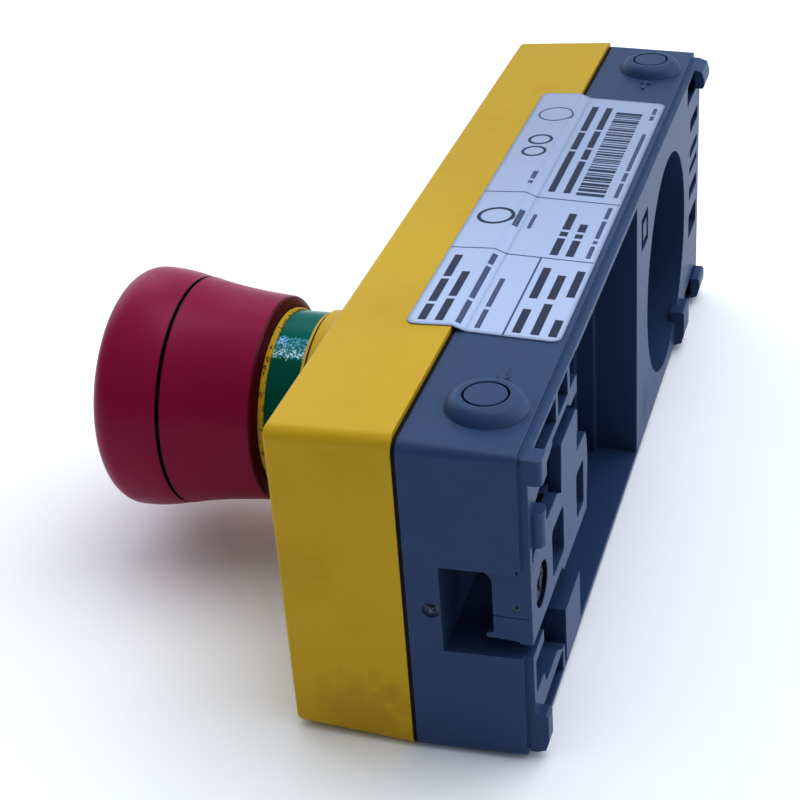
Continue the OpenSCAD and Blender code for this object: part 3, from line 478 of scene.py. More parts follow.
def base_blue_finish(look):
    """Grey-blue moulded plastic with smudges, specks and the marks of its moulding."""
    finish = Finish("base_blue", look.base_blue, 0.40, specular_ior_level=0.24)
    # painted shade, darker towards the far end
    finish.paint_far_end_shade(look.base_blue, 0.90)
    finish.mottle(40.0, 0.06)
    smudge = finish.mask("smudges", Scale=70.0, Cover=0.4)
    finish.blend(smudge, (0.075, 0.105, 0.18), 0.2)
    finish.blend(finish.mask("specks", Scale=420.0, Size=0.06, Share=0.06), (0.16, 0.19, 0.26), 0.3)
    for centre, reach in DARK_SPECKS:
        finish.blend(finish.zone(centre, (1, 1, 1), 0, reach, 0.15), (0.012, 0.018, 0.035), 0.75)

    # torn gate mark, ejector ring, and painted shade on the recess wall round the screw
    torn = step_between(finish.tree, noise(finish.tree, finish.here, 2600.0, 3.0, 0.7), 0.46, 0.56)
    gate = finish.zone(GATE_MARK, (0, 1, 1), -1, 1.35, 0.2)
    gate = finish.both(gate, finish.band(0, place(HALF_LENGTH - 1, 0, 0).x, PAST_PART))
    finish.blend(gate, (0.020, 0.028, 0.055), 0.6)
    finish.blend(finish.both(gate, torn), (0.17, 0.19, 0.24), 0.75)
    end_face = finish.band(0, place(HALF_LENGTH - 2, 0, 0).x, PAST_PART)
    for inner, outer, tone in ((-1, 0.34, (0.010, 0.014, 0.026)), (0.36, 0.64, (0.33, 0.37, 0.35))):
        ring = finish.both(finish.zone(EJECTOR_MARK, (0, 1, 1), inner, outer, 0.1), end_face)
        finish.blend(finish.both(ring, step_between(finish.tree, torn, -0.6, 0.8)), tone, 0.9)
    # painted shade: the recess wall round the screw is darkened where it lies in shadow
    recess_shade = finish.zone(SCREW_CENTRE, (1, 0, 1), -1, 3.44, 0.03)
    finish.blend(finish.both(recess_shade, finish.band(1, *SCREW_RECESS_SHADE_SPAN)), (0.006, 0.008, 0.016), 0.9)
    # painted highlight along the edges, partly edge wear
    finish.edges(look.edge_radius, (0.13, 0.19, 0.32), 0.55)
    finish.grain(7500.0, 0.00002)
    finish.rough_where(smudge, 0.1)
    return finish.done()


def plain_finish(name, colour, roughness, cloud, grain, specular=0.5):
    """One colour with a slow cloud (scale, amount) and a moulded grain (fine, depth, slow)."""
    finish = Finish(name, colour, roughness, specular_ior_level=specular)
    finish.mottle(*cloud)
    finish.grain(*grain)
    return finish.done()


# Bands round the button's axis, between two heights in millimetres in front of the joint
BARREL_FLANGE = (27.1, 27.72)
REAR_EDGE_DARK_SPECKS = (32.8, 33.05)
MARKS_ROW = (33.2, 33.85)
# these last two bands carry painted shade on the head
SKIRT_RIM_SHADE = (33.0, 34.62)
CAP_GROOVE_SHADE = (49.02, 49.68)


def crimson_finish(look):
    """Satin crimson plastic, with painted shade on the skirt's rim and in a band round the cap's groove.
    """
    finish = Finish("head_crimson", look.crimson, 0.32, specular_ior_level=0.24)
    finish.mottle(60.0, 0.06)
    smudge = finish.mask("smudges", Scale=110.0, Cover=0.5)
    finish.blend(smudge, (0.24, 0.020, 0.075), 0.25)
    # painted shade: the skirt's rim faces away from the lamps
    finish.blend(finish.height_band(SKIRT_RIM_SHADE, 0.3), (0.070, 0.002, 0.014), 0.85)
    # painted shade: widens the dark line of the cap's groove
    finish.blend(finish.height_band(CAP_GROOVE_SHADE, 0.08), (0.014, 0.001, 0.012), 0.9)
    finish.edges(0.2 * MM)
    finish.grain(8000.0, 0.000015, 300.0)
    finish.rough_where(smudge, 0.14)
    return finish.done()


def round_button(radius, turn, height):
    """A point round the button's axis, its turn in degrees from straight up towards the near end."""
    angle = math.radians(turn)
    return on_axis(height) + Vector((math.sin(angle), 0, math.cos(angle))) * radius * MM


def around_button(finish):
    """The turn about the button's axis, in degrees from straight up towards the near end."""
    away = vector_node(finish.tree, "SUBTRACT", finish.here)
    away.inputs[1].default_value = AXIS
    part = add_node(finish.tree, "ShaderNodeSeparateXYZ", {"Vector": away.outputs[0]})
    turn = math_node(finish.tree, "ARCTAN2", part.outputs["X"], part.outputs["Z"])
    return math_node(finish.tree, "MULTIPLY", turn, math.degrees(1))


# The ring's band of painted highlight in degrees round the axis: where it, its bright row of painted
# glints and the painted shade of deeper green below it begin, where it ends, and how ragged these
# borders are
GLINT_BAND_BEGINS = (15.5, 18.0)
GLINT_ROW_BEGINS = (25.5, 28.0)
SHADED_GREEN_BEGINS = (31.5, 34.0)
GLINT_BAND_ENDS = (31.5, 33.0)
GLINT_BAND_RAGGED = 9.0


def ring_green_finish(look):
    """Glossy ring with a band of painted highlight and painted glints across it, and painted shade below
    the band.
    """
    gloss = {"specular_ior_level": 0.08, "coat_weight": 0.05, "coat_roughness": 0.05}
    finish = Finish("ring_green", look.ring_green, 0.20, **gloss)
    finish.mottle(180.0, 0.12)
    tree, glint_scale = finish.tree, 1.0 / look.glint_size
    torn = math_node(tree, "SUBTRACT", noise(tree, finish.here, glint_scale * 0.6, 2.0), 0.5)
    shift = math_node(tree, "MULTIPLY", torn, GLINT_BAND_RAGGED)
    turn = math_node(tree, "ADD", around_button(finish), shift)
    above_end = math_node(tree, "SUBTRACT", 1.0, step_between(tree, turn, *GLINT_BAND_ENDS))
    glint_band = finish.both(step_between(tree, turn, *GLINT_BAND_BEGINS), above_end)
    row = finish.both(step_between(tree, turn, *GLINT_ROW_BEGINS), above_end)
    glints = noise(tree, finish.here, glint_scale, 2.0, 0.7)
    # painted shade: deeper green on the ring's lower side, below the band
    finish.blend(step_between(tree, turn, *SHADED_GREEN_BEGINS), (0.0, 0.085, 0.055), 0.6)
    # painted highlight: a lit band with painted glints, a bluish patch of painted reflection and a
    # bright row of glints
    finish.blend(glint_band, (0.012, 0.20, 0.24), 0.65)
    finish.blend(finish.both(glint_band, step_between(tree, glints, 0.47, 0.60)), (0.30, 0.55, 0.68), 0.8)
    blue = finish.zone(round_button(14.7, 20.0, 31.9), (1, 1, 1), -1, 1.2, 0.6)
    finish.blend(finish.both(blue, step_between(tree, glints, 0.40, 0.55)), (0.38, 0.58, 0.88), 0.8)
    finish.blend(finish.both(row, step_between(tree, glints, 0.42, 0.62)), (0.66, 0.86, 0.92), 0.85)
    finish.grain(glint_scale, 0.00003, glint_scale / 6, 0.25)
    finish.rough_where(glint_band, 0.25)
    return finish.done()


def marker_yellow_finish(colour, mark_count):
    """Yellow ring with small dark marks round its middle and dark specks at its rear edge."""
    finish = Finish("marker_yellow", colour, 0.38, specular_ior_level=0.25)
    finish.mottle(200.0, 0.12)
    spacing = 2 * math.pi * (RING_HIGH.x - AXIS.x) / mark_count
    marks = finish.mask("specks", Scale=0.8 / spacing, Size=0.42, Share=0.7)
    torn = step_between(finish.tree, noise(finish.tree, finish.here, 3200.0, 2.0), 0.44, 0.50)
    marks = finish.both(finish.both(marks, torn), finish.height_band(MARKS_ROW, 0.1))
    finish.blend(marks, (0.030, 0.018, 0.004), 0.85)
    dots = step_between(finish.tree, noise(finish.tree, finish.here, 2400.0, 2.0), 0.52, 0.60)
    finish.blend(finish.both(finish.height_band(REAR_EDGE_DARK_SPECKS, 0.1), dots), (0.05, 0.032, 0.008), 0.7)
    # painted highlight along the edges, partly edge wear
    finish.edges(0.1 * MM, (0.7, 0.45, 0.03), 0.4)
    finish.grain(8000.0, 0.00001)
    return finish.done()


def film_finish(look):
    """Label film, with painted light that makes it paler towards the button's end."""
    finish = Finish("label_film", look.film, 0.34, specular_ior_level=0.3)
    # painted light, the film grows paler towards the button's end
    finish.blend(finish.towards_button(-35, 45), (0.44, 0.52, 0.70))
    finish.mottle(60.0, 0.03)
    finish.edges(1.2 * MM)
    finish.grain(12000.0, 0.000006, 150.0, 0.6)
    finish.blend(finish.mask("specks", Scale=300.0, Size=0.05, Share=0.06), (0.2, 0.24, 0.33), 0.5)
    return finish.done()


def ink_finish(name, colour):
    """Flat ink, a little uneven."""
    return plain_finish(name, colour, 0.5, (2500.0, 0.25), (9000.0, 0.000005), 0.3)


def dark_plastic_finish(name="dark_plastic"):
    """Dark plastic, left open so that a piece can add its own marks."""
    finish = Finish(name, (0.018, 0.018, 0.022), 0.5)
    finish.mottle(120.0, 0.12)
    # painted highlight along the edges, partly edge wear
    finish.edges(0.12 * MM, (0.05, 0.05, 0.058), 0.5)
    finish.grain(8000.0, 0.00002)
    return finish


def barrel_finish(yellow):
    """Dark plastic whose flange, seen as a thin line under the green ring, is yellow."""
    finish = dark_plastic_finish("barrel_plastic")
    outside = finish.zone(AXIS, (1, 0, 1), 12, 100)
    flange = finish.both(outside, finish.height_band(BARREL_FLANGE, 0.05))
    finish.blend(flange, yellow)
    return finish.done()


def screw_finish():
    """Dark old zinc with bright scratches along the driver's way."""
    finish = Finish("worn_screw", (0.10, 0.11, 0.145), 0.42, metallic=0.85)
    finish.mottle(900.0, 0.3)
    stretch = add_node(finish.tree, "ShaderNodeMapping", {"Vector": finish.here})
    stretch.inputs["Scale"].default_value = (2600, 300, 380)
    streaks = noise(finish.tree, stretch.outputs[0], 1.0, 3.0, 0.65)
    scratch = step_between(finish.tree, streaks, 0.53, 0.64)
    finish.blend(scratch, (0.42, 0.44, 0.48), 0.85)
    dirt = step_between(finish.tree, noise(finish.tree, finish.here, 1500.0, 2.0), 0.50, 0.62)
    finish.blend(dirt, (0.020, 0.024, 0.038), 0.8)
    # painted highlight along the edges, partly edge wear
    finish.edges(0.08 * MM, (0.4, 0.42, 0.46), 0.4)
    finish.grain(5000.0, 0.00004, 900.0, 0.3)
    finish.rough_where(dirt, 0.25)
    return finish.done()


def metal_finish(name, colour, roughness, lines):
    """Plated or drawn metal: fine lines across its height, and a faint cloud in the plating."""
    finish = Finish(name, colour, roughness, metallic=1.0)
    finish.mottle(400.0, 0.1)
    # painted highlight along the edges, partly edge wear
    finish.edges(0.08 * MM, tuple(min(1.0, c * 1.3) for c in colour), 0.6)
    finish.grain(lines, 0.000008, 900.0, 0.3)
    cloud = noise(finish.tree, finish.here, 700.0, 2.0)
    finish.rough_where(cloud, 0.2)
    return finish.done()


def board_finish():
    """Green laminate with fine parallel tracks."""
    finish = Finish("board_laminate", (0.01, 0.12, 0.05), 0.3, coat_weight=0.3, coat_roughness=0.15)
    tracks = {"Scale": 240.0, "Mortar Size": 0.06, "Brick Width": 1.7, "Row Height": 0.4}
    brick = add_node(finish.tree, "ShaderNodeTexBrick", {"Vector": finish.here}, None, tracks)
    finish.blend(brick.outputs["Fac"], (0.03, 0.22, 0.09), 0.8)
    finish.mottle(100.0, 0.1)
    finish.grain(6000.0, 0.00001)
    return finish.done()


# ---- Modelling helpers


def clear_selection():
    """Leaves edit mode and selects nothing."""
    if bpy.context.object and bpy.context.object.mode != "OBJECT":
        bpy.ops.object.mode_set(mode="OBJECT")
    bpy.ops.object.select_all(action="DESELECT")


def take(piece):
    """Makes one object the only selected and the active one."""
    clear_selection()
    piece.select_set(True)
    bpy.context.view_layer.objects.active = piece


def settle(piece, name, body):
    """Names a finished piece, applies its place into its mesh and lets it ride on its body."""
    take(piece)
    bpy.ops.object.transform_apply(location=True, rotation=True, scale=True)
    piece.name = piece.data.name = name
    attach(piece, body)
    return piece


def apply_modifiers(piece):
    """Applies a piece's modifiers in their order."""
    take(piece)
    for modifier in list(piece.modifiers):
        bpy.ops.object.modifier_apply(modifier=modifier.name)


def turned(name, profile, body, material, sides=128):
    """A ring turned about the button's axis from its cross-section: radius and height in millimetres."""
    clear_selection()
    radius, height = profile[0]
    bpy.ops.mesh.primitive_circle_add(
        vertices=sides, radius=radius * MM, location=on_axis(height), rotation=(math.pi / 2, 0, 0)
    )
    piece = bpy.context.object
    piece.data.materials.append(material)
    bpy.ops.object.transform_apply(location=True, rotation=True, scale=True)
    bpy.ops.object.mode_set(mode="EDIT")
    bpy.ops.mesh.select_all(action="SELECT")
    for next_radius, next_height in profile[1:] + profile[:1]:
        rise = -(next_height - height) * MM
        bpy.ops.mesh.extrude_region_move(TRANSFORM_OT_translate={"value": (0, rise, 0)})
        grow = next_radius / radius
        bpy.ops.transform.resize(value=(grow, 1, grow), center_override=on_axis(next_height))
        radius, height = next_radius, next_height
    bpy.ops.mesh.select_all(action="SELECT")
    bpy.ops.mesh.remove_doubles(threshold=0.002 * MM)
    bpy.ops.mesh.normals_make_consistent(inside=False)
    bpy.ops.object.mode_set(mode="OBJECT")
    bpy.ops.object.shade_smooth_by_angle(angle=math.radians(35))
    return settle(piece, name, body)


# Coil springs to copy: node, its copy, body, the end that stays, and millimetres left when pressed
CLOSING_SPRINGS = (
    ("return_spring", "return_coil", "housing", "rear", 4.4),
    ("contact_springs", "contact_coils", "housing", "rear", 1.5),
    ("twist_spring", "twist_coil", "plunger", "front", 1.6),
)


def closing_spring(node, name, body, fixed_end, left):
    """A smoothed copy of a coil spring that rides on its body in place of the packed one. fixed_end and
    left are not used.
    """
    source = bpy.data.objects[node]
    piece = bpy.data.objects.new(name, source.data.copy())
    bpy.context.scene.collection.objects.link(piece)
    take(piece)
    bpy.ops.object.mode_set(mode="EDIT")
    bpy.ops.mesh.select_all(action="SELECT")
    bpy.ops.mesh.remove_doubles(threshold=0.002 * MM)
    bpy.ops.object.mode_set(mode="OBJECT")
    bpy.ops.object.shade_smooth_by_angle(angle=math.radians(50))
    settle(piece, name, body)
    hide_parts(node)
    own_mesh(piece)


def lay_on(piece, target, axis, positive, height, thickness):
    """Drops a flat piece onto a target along one axis, and gives it its thickness."""
    drop = piece.modifiers.new("lay on the surface", "SHRINKWRAP")
    drop.target = bpy.data.objects[target]
    drop.wrap_method = "PROJECT"
    drop.use_project_x, drop.use_project_y, drop.use_project_z = (axis == way for way in "xyz")
    drop.use_positive_direction = positive
    drop.use_negative_direction = not positive
    drop.offset = height
    drop.wrap_mode = "ABOVE_SURFACE"
    thick = piece.modifiers.new("thickness", "SOLIDIFY")
    thick.thickness = thickness
    thick.offset = -1


def flat_ring(sides, radius, width, centre, rotation, material):
    """A flat ring, left in edit mode, its outer radius and its width in millimetres."""
    clear_selection()
    add_disc(sides, radius, centre, rotation)
    piece = bpy.context.object
    piece.data.materials.append(material)
    bpy.ops.object.transform_apply(location=True, rotation=True, scale=True)
    bpy.ops.object.mode_set(mode="EDIT")
    bpy.ops.mesh.select_all(action="SELECT")
    bpy.ops.mesh.inset(thickness=width * MM)
    bpy.ops.mesh.delete(type="FACE")
    return piece


def add_disc(sides, radius, centre, rotation):
    """A flat disc or polygon, its radius in millimetres."""
    bpy.ops.mesh.primitive_circle_add(
        vertices=sides, radius=radius * MM, fill_type="NGON", location=centre, rotation=rotation
    )


# The arrows on the cap: how many, the gap after each in degrees, and in millimetres the bows' outer
# radius and width, the heads' radius and reach, and the height from where they are laid down
ARROW_COUNT = 3
ARROW_GAP = 48
ARROW_RADIUS, ARROW_WIDTH = 12.6, 1.7
ARROW_HEAD, ARROW_AHEAD = 2.3, 0.9
IN_FRONT = 70


def twist_arrows(name, height, material):
    """Raised arrows round the front of the cap, the way the head is turned to release it."""
    front = on_axis(IN_FRONT)
    piece = flat_ring(120, ARROW_RADIUS, ARROW_WIDTH, front, (math.pi / 2, 0, 0), material)
    bpy.ops.mesh.select_all(action="DESELECT")
    bpy.ops.object.mode_set(mode="OBJECT")
    for face in piece.data.polygons:
        away = face.center - front
        turn = math.degrees(math.atan2(away.x, away.z)) % (360 / ARROW_COUNT)
        face.select = turn < ARROW_GAP
    bpy.ops.object.mode_set(mode="EDIT")
    bpy.ops.mesh.select_mode(type="FACE")
    bpy.ops.mesh.delete(type="FACE")
    for index in range(ARROW_COUNT):
        turn = math.radians(index * 360 / ARROW_COUNT)
        out = Vector((math.sin(turn), 0, math.cos(turn)))
        along = Vector((math.cos(turn), 0, -math.sin(turn)))
        tip = front + (out * (ARROW_RADIUS - ARROW_WIDTH / 2) + along * ARROW_AHEAD) * MM
        add_disc(3, ARROW_HEAD, tip, (math.pi / 2, turn + math.pi / 2, 0))
        bpy.ops.mesh.subdivide(number_cuts=3)
    bpy.ops.object.mode_set(mode="OBJECT")
    lay_on(piece, "mushroom_cap", "y", True, height, height * 1.4)
    soft = piece.modifiers.new("soft rim", "BEVEL")
    soft.width = 0.08 * MM
    soft.segments = 2
    apply_modifiers(piece)
    return settle(piece, name, "head")


# ---- Label print

# The label's middle, its folds over the joint's step, and the height from where prints are laid down,
# in millimetres
LABEL_MIDDLE = (-0.85, 4.4)
FOLDS = (0.0, 0.6, 1.2, 1.8, 2.4, 3.0)
ABOVE_LABEL = 40

# Rows of bars: ends along the label, middle and height across it, relative widths
BOLD_ROWS = (
    (22.0, 43.2, -4.9, 1.25, (4, 6, 6)),
    (27.5, 43.2, -2.3, 1.25, (5, 6)),
    (36.0, 43.2, 9.2, 1.25, (5,)),
    (22.5, 32.5, 9.2, 1.25, (5,)),
    (33.8, 43.2, 11.9, 1.25, (7,)),
    (24.5, 32.2, 11.9, 1.25, (5,)),
    (38.2, 43.2, 14.5, 1.25, (4,)),
    (22.5, 31.0, 14.5, 1.25, (6,)),
    (3.0, 18.0, 9.1, 1.25, (4, 1, 4)),
    (6.5, 18.0, 11.6, 1.25, (4, 1, 2)),
    (-42.0, -4.5, 3.7, 1.15, (9, 4, 6)),
    (-42.0, -4.5, 6.3, 1.15, (9, 3, 5, 7)),
)
THIN_ROWS = (
    (20.8, 43.2, 0.6, 0.8, (6, 9, 3)),
    (27.5, 43.2, 3.4, 0.8, (5, 8)),
    (-0.5, 18.0, 14.5, 0.7, (4, 1, 6, 4)),
    (-31.5, -4.5, 14.5, 0.7, (5, 3, 14)),
    (-43.5, -38.0, 14.5, 0.7, (2, 3)),
    (4.2, 10.2, 1.0, 0.9, (4,)),
    (4.6, 9.8, 3.2, 0.6, (4,)),
    (-10.5, -5.6, -0.2, 0.8, (1, 3)),
)
ROW_GAP = 0.9
# The dividing lines as boxes: ends along the label, then ends across it
DIVIDERS = (
    (-2.0, -1.78, -6.9, 15.7),
    (19.2, 19.42, -6.9, 15.7),
    (19.2, 44.3, 7.35, 7.636),
)
# Printed rings: name, middle, radius, stroke, and whether the ink is dark
RINGS = (
    ("label_ring_large", 7.4, -2.7, 3.1, 0.6, True),
    ("label_ring_left", -19.0, -2.6, 2.2, 0.5, True),
    ("label_ring_right", -24.2, -2.6, 2.2, 0.5, True),
    ("label_ring_far", -36.0, -2.4, 3.2, 0.3, False),
)


def row_bars(rows):
    """Boxes of all bars in these rows, each row laid from its second end to its first."""
    bars = []
    for x0, x1, y, height, widths in rows:
        span = (x1 - x0 - ROW_GAP * (len(widths) - 1)) / sum(widths)
        x = x1
        for width in widths:
            bars.append((x - width * span, x, y - height / 2, y + height / 2))
            x -= width * span + ROW_GAP
    return bars


def field_bars():
    """A field of plain bars of several widths across the label."""
    start, end, low, high = -4.2, -39.6, 7.9, 12.6
    draw = random.Random(11)
    bars, x = [], start
    while x > end:
        width = draw.choice((0.3, 0.45, 0.7, 1.0))
        bars.append((x - width, x, low, high))
        x -= width + draw.choice((0.35, 0.5, 0.7))
    return bars


def print_bars(name, boxes, height, material):
    """Ink bars as one mesh. A box is its two ends along and its two ends across the label."""
    clear_selection()
    bpy.ops.mesh.primitive_plane_add(size=MM, location=place(*LABEL_MIDDLE, ABOVE_LABEL))
    piece = bpy.context.object
    piece.data.materials.append(material)
    bpy.ops.object.mode_set(mode="EDIT")
    bpy.ops.mesh.delete(type="FACE")
    for x0, x1, y0, y1 in boxes:
        middle = place((x0 + x1) / 2, (y0 + y1) / 2, ABOVE_LABEL)
        bpy.ops.mesh.primitive_plane_add(size=1, location=middle)
        size = ((x1 - x0) * MM, (y1 - y0) * MM, 1)
        bpy.ops.transform.resize(value=size, center_override=middle)
    return lay_on_label(piece, name, height)


def print_ring(name, x, y, radius, width, height, material):
    """A plain printed ring."""
    piece = flat_ring(48, radius, width, place(x, y, ABOVE_LABEL), (0, 0, 0), material)
    return lay_on_label(piece, name, height)


def lay_on_label(piece, name, height):
    """Cuts a flat print, still in edit mode, at the folds and lays it on the film."""
    for fold in FOLDS:
        bpy.ops.mesh.select_all(action="SELECT")
        bpy.ops.mesh.bisect(plane_co=place(0, fold, ABOVE_LABEL), plane_no=(0, 1, 0))
    bpy.ops.object.mode_set(mode="OBJECT")
    bpy.ops.object.transform_apply(location=True, rotation=True, scale=True)
    lay_on(piece, "rating_label", "z", False, height, height * 0.9)
    apply_modifiers(piece)
    return settle(piece, name, "housing")


# ---- Stage

# The sky's light on the near and the far side, the way to the far side, and the sky seen in low views
NEAR_SKY = (0.198, 0.213, 0.243, 1)
FAR_SKY = (0.56, 0.60, 0.66, 1)
FAR_WAY = Vector((-0.75, 0.30, 0.60)).normalized()
SEEN_SKY = (0.42, 0.435, 0.47, 1)

# The photograph's camera: its place, and its directions forward and to the right
CAMERA_PLACE = place(258.24, 65.48, 148.40)
CAMERA_FORWARD = Vector((-0.81080, -0.28144, -0.51322)).normalized()
CAMERA_RIGHT = Vector((-0.28872, 0.95503, -0.06759)).normalized()


def studio_world():
    """Soft light from all round, dark on the side of the camera and bright on the far side."""
    world = bpy.data.worlds.new("studio")
    world.use_nodes = True
    tree = world.node_tree
    sky = tree.nodes.new("ShaderNodeTexCoord").outputs["Generated"]
    way = vector_node(tree, "DOT_PRODUCT", sky)
    way.inputs[1].default_value = FAR_WAY
    far = step_between(tree, way.outputs["Value"], -0.6, 0.9)
    mix = add_node(tree, "ShaderNodeMix", {"Factor": far}, {"data_type": "RGBA"})
    mix.inputs[6].default_value = NEAR_SKY
    mix.inputs[7].default_value = FAR_SKY
    straight = tree.nodes.new("ShaderNodeLightPath").outputs["Is Camera Ray"]
    links = {"Factor": straight, 6: mix.outputs[2]}
    seen = add_node(tree, "ShaderNodeMix", links, {"data_type": "RGBA"})
    seen.inputs[7].default_value = SEEN_SKY
    tree.links.new(seen.outputs[2], tree.nodes["Background"].inputs["Color"])
    return world


# ---- Operators


class STOPMODULE_OT_stage(Operator):
    """Sets up the pale floor, the soft lights and the camera of the photograph"""

    bl_idname = "stop_module.stage"
    bl_label = "Stage"

    def execute(self, context):
        look = context.scene.stop_stage
        scene = context.scene
        scene.view_settings.view_transform = "Standard"
        scene.view_settings.look = "High Contrast"
        scene.world = studio_world()

        floor_finish = Finish("studio_floor", look.floor, 0.75, specular_ior_level=0.1)
        floor_finish.mottle(6.0, 0.01)
        clear_selection()
        bpy.ops.mesh.primitive_plane_add(size=6, location=(0, 0, 0))
        floor = context.object
        floor.name = "floor"
        floor.data.materials.append(floor_finish.done())

        # name, place, size, power and colour of each lamp
        lamps = (
            ("key_overhead", (-0.15, 0.22, 0.85), 0.75, look.key_power, (0.96, 0.98, 1.0)),
            ("back_fill", (-0.25, 0.85, 0.35), 0.7, look.fill_power, (0.94, 0.97, 1.0)),
            ("front_fill", (-0.55, -0.65, 0.50), 0.8, look.front_power, (0.98, 0.98, 1.0)),
        )
        aim = Vector((0, 0, 0.03))
        for name, spot, size, power, tone in lamps:
            bpy.ops.object.light_add(type="AREA", location=spot)
            lamp = context.object
            lamp.name = name
            lamp.data.shape = "SQUARE"
            lamp.data.size = size
            lamp.data.energy = power
            lamp.data.color = tone
            lamp.rotation_mode = "QUATERNION"
            lamp.rotation_quaternion = (aim - Vector(spot)).to_track_quat("-Z", "Y")

        up = CAMERA_RIGHT.cross(CAMERA_FORWARD).normalized()
        data = bpy.data.cameras.new("camera")
        data.sensor_width = 36
        data.lens = look.lens
        data.clip_start = 0.01
        camera = bpy.data.objects.new("camera", data)
        scene.collection.objects.link(camera)
        turn = Matrix((CAMERA_RIGHT, up, -CAMERA_FORWARD)).transposed().to_4x4()
        camera.matrix_world = Matrix.Translation(CAMERA_PLACE) @ turn
        scene.camera = camera
        return {"FINISHED"}


class STOPMODULE_OT_housing(Operator):
    """Finishes the yellow cover, the blue base, the seals and the retainer plate"""

    bl_idname = "stop_module.housing"
    bl_label = "Housing"

    def execute(self, context):
        look = context.scene.stop_housing
        yellow = cover_yellow_finish(look)
        wear(yellow, "front_cover")
        wear(base_blue_finish(look), "base_housing", "boss_plugs", "retainer_plate")
        grain = (9000.0, 0.00002, 900.0)
        rubber = plain_finish("seal_rubber", look.seal_black, 0.7, (300.0, 0.2), grain, 0.3)
        wear(rubber, "cover_gasket", "stem_seal")
        # painted shade: the bezel seal is coloured brown, as the shade in the thin gap between the
        # yellow parts
        bezel = plain_finish("bezel_seal_gap_shade", (0.060, 0.034, 0.008), 0.7, (400.0, 0.25), grain, 0.2)
        wear(bezel, "bezel_seal")

        # the collar's hollow foot, from the collar's side down to the cover's front
        radius, collar, front, sunk, step = 8.5, 15.2, 18.25, 0.3, 7.5
        turns = [math.radians(180 + step * index) for index in range(13)]
        foot = [(collar + radius * (1 + math.cos(a)), front + radius * (1 + math.sin(a))) for a in turns]
        top = [(collar - sunk, front + radius)]
        bottom = [(collar + radius, front - 0.2), (collar - sunk, front - 0.2)]
        turned("collar_root", top + foot + bottom, "housing", yellow)
        return {"FINISHED"}


class STOPMODULE_OT_label(Operator):
    """Finishes the label film and lays its plain bars, lines and rings on it"""

    bl_idname = "stop_module.label"
    bl_label = "Label"

    def execute(self, context):
        look = context.scene.stop_label
        wear(film_finish(look), "rating_label")
        height = look.ink_height
        dark = ink_finish("label_ink_dark", look.ink)
        light = ink_finish("label_ink_light", tuple(c * 2.2 for c in look.ink))
        print_bars("label_bold_bars", row_bars(BOLD_ROWS), height, dark)
        print_bars("label_thin_bars", row_bars(THIN_ROWS), height, light)
        print_bars("label_bar_field", field_bars(), height, dark)
        print_bars("label_dividers", DIVIDERS, height, light)
        for name, x, y, radius, stroke, is_dark in RINGS:
            print_ring(name, x, y, radius, stroke, height, dark if is_dark else light)
        return {"FINISHED"}


class STOPMODULE_OT_button(Operator):
    """Finishes the mushroom head, its rings and the button's body"""

    bl_idname = "stop_module.button"
    bl_label = "Button"

    def execute(self, context):
        look = context.scene.stop_button
        yellow = context.scene.stop_housing.cover_yellow
        crimson = crimson_finish(look)
        wear(crimson, "mushroom_cap", "mushroom_skirt", "head_hub")
        wear(ring_green_finish(look), "indicator_ring")
        wear(marker_yellow_finish(yellow, look.mark_count), "marker_ring")
        wear(barrel_finish(yellow), "actuator_barrel")
        wear(dark_plastic_finish().done(), "push_stem", "contact_block_upper", "contact_block_lower")
        # cross-section of the skirt's rear lip: radius and height
        lip = [(15.2, 33.95), (15.9, 34.0), (16.4, 34.2), (16.4, 35.4), (15.9, 35.4), (15.2, 34.9)]
        turned("skirt_lip", lip, "head", crimson)
        twist_arrows("cap_arrows", 0.28 * MM, crimson)
        return {"FINISHED"}


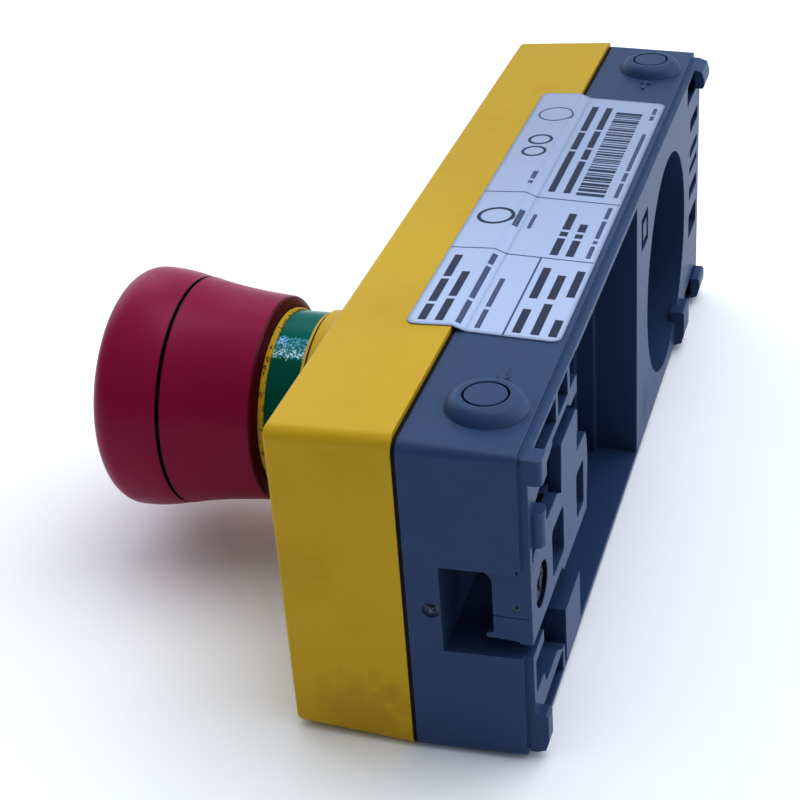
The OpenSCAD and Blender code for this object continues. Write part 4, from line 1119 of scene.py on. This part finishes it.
class STOPMODULE_OT_inner_parts(Operator):
    """Finishes the screws, springs, contacts and electronics"""

    bl_idname = "stop_module.inner_parts"
    bl_label = "Inner Parts"

    def execute(self, context):
        zinc = metal_finish("zinc_plate", (0.55, 0.56, 0.58), 0.3, 9000.0)
        wire = metal_finish("spring_wire", (0.42, 0.43, 0.45), 0.28, 12000.0)
        brass = metal_finish("contact_brass", (0.72, 0.52, 0.22), 0.25, 9000.0)
        wear(zinc, "barrel_nut", "hub_screw", "board_screws", "latch_pins")
        wear(screw_finish(), "retainer_screw")
        wear(wire, "return_spring", "twist_spring", "contact_springs", "stem_clip")
        for spring in CLOSING_SPRINGS:
            closing_spring(*spring)
        wear(brass, "fixed_contacts", "contact_bridges", "piercing_pins")
        wear(metal_finish("capacitor_can", (0.68, 0.69, 0.71), 0.3, 7000.0), "board_capacitors")
        colour = (0.60, 0.58, 0.50)
        natural = plain_finish("natural_plastic", colour, 0.4, (150.0, 0.06), (7000.0, 0.00001))
        wear(natural, "latch_sleeve", "contact_plungers")
        wear(board_finish(), "circuit_board", "led_board")
        lens = plain_finish("led_lens", (0.75, 0.78, 0.72), 0.15, (900.0, 0.1), (5000.0, 0.000005))
        wear(lens, "ring_leds")
        colour = (0.012, 0.012, 0.014)
        package = plain_finish("chip_package", colour, 0.55, (200.0, 0.15), (9000.0, 0.00001))
        wear(package, "board_chips")
        return {"FINISHED"}


class STOPMODULE_PT_panel(Panel):
    """Shows each step's button and its settings in the sidebar"""

    bl_label = "Emergency Stop Module"
    bl_space_type = "VIEW_3D"
    bl_region_type = "UI"
    bl_category = "Stop Module"

    def draw(self, context):
        layout = self.layout
        for name, operator, group in STEPS:
            box = layout.box()
            box.operator(operator.bl_idname, text=name)
            if group:
                settings = getattr(context.scene, group)
                for key in settings.__annotations__:
                    box.prop(settings, key)


GROUPS = {
    "stop_housing": HousingFinish,
    "stop_button": ButtonFinish,
    "stop_label": LabelFinish,
    "stop_stage": StageSetup,
}
STEPS = (
    ("Stage", STOPMODULE_OT_stage, "stop_stage"),
    ("Housing", STOPMODULE_OT_housing, "stop_housing"),
    ("Label", STOPMODULE_OT_label, "stop_label"),
    ("Button", STOPMODULE_OT_button, "stop_button"),
    ("Inner parts", STOPMODULE_OT_inner_parts, None),
)


def register():
    """Adds the settings, the operators and the panel."""
    for group in GROUPS.values():
        bpy.utils.register_class(group)
    for _, operator, _ in STEPS:
        bpy.utils.register_class(operator)
    bpy.utils.register_class(STOPMODULE_PT_panel)
    for name, group in GROUPS.items():
        setattr(bpy.types.Scene, name, PointerProperty(type=group))


def unregister():
    """Takes away what register adds."""
    for name in GROUPS:
        delattr(bpy.types.Scene, name)
    bpy.utils.unregister_class(STOPMODULE_PT_panel)
    for _, operator, _ in reversed(STEPS):
        bpy.utils.unregister_class(operator)
    for group in reversed(GROUPS.values()):
        bpy.utils.unregister_class(group)


def main():
    """Makes the whole module."""
    register()
    bpy.ops.stop_module.stage()
    bpy.ops.stop_module.housing()
    bpy.ops.stop_module.label()
    bpy.ops.stop_module.button()
    bpy.ops.stop_module.inner_parts()
    clear_selection()


if __name__ == "__main__":
    main()
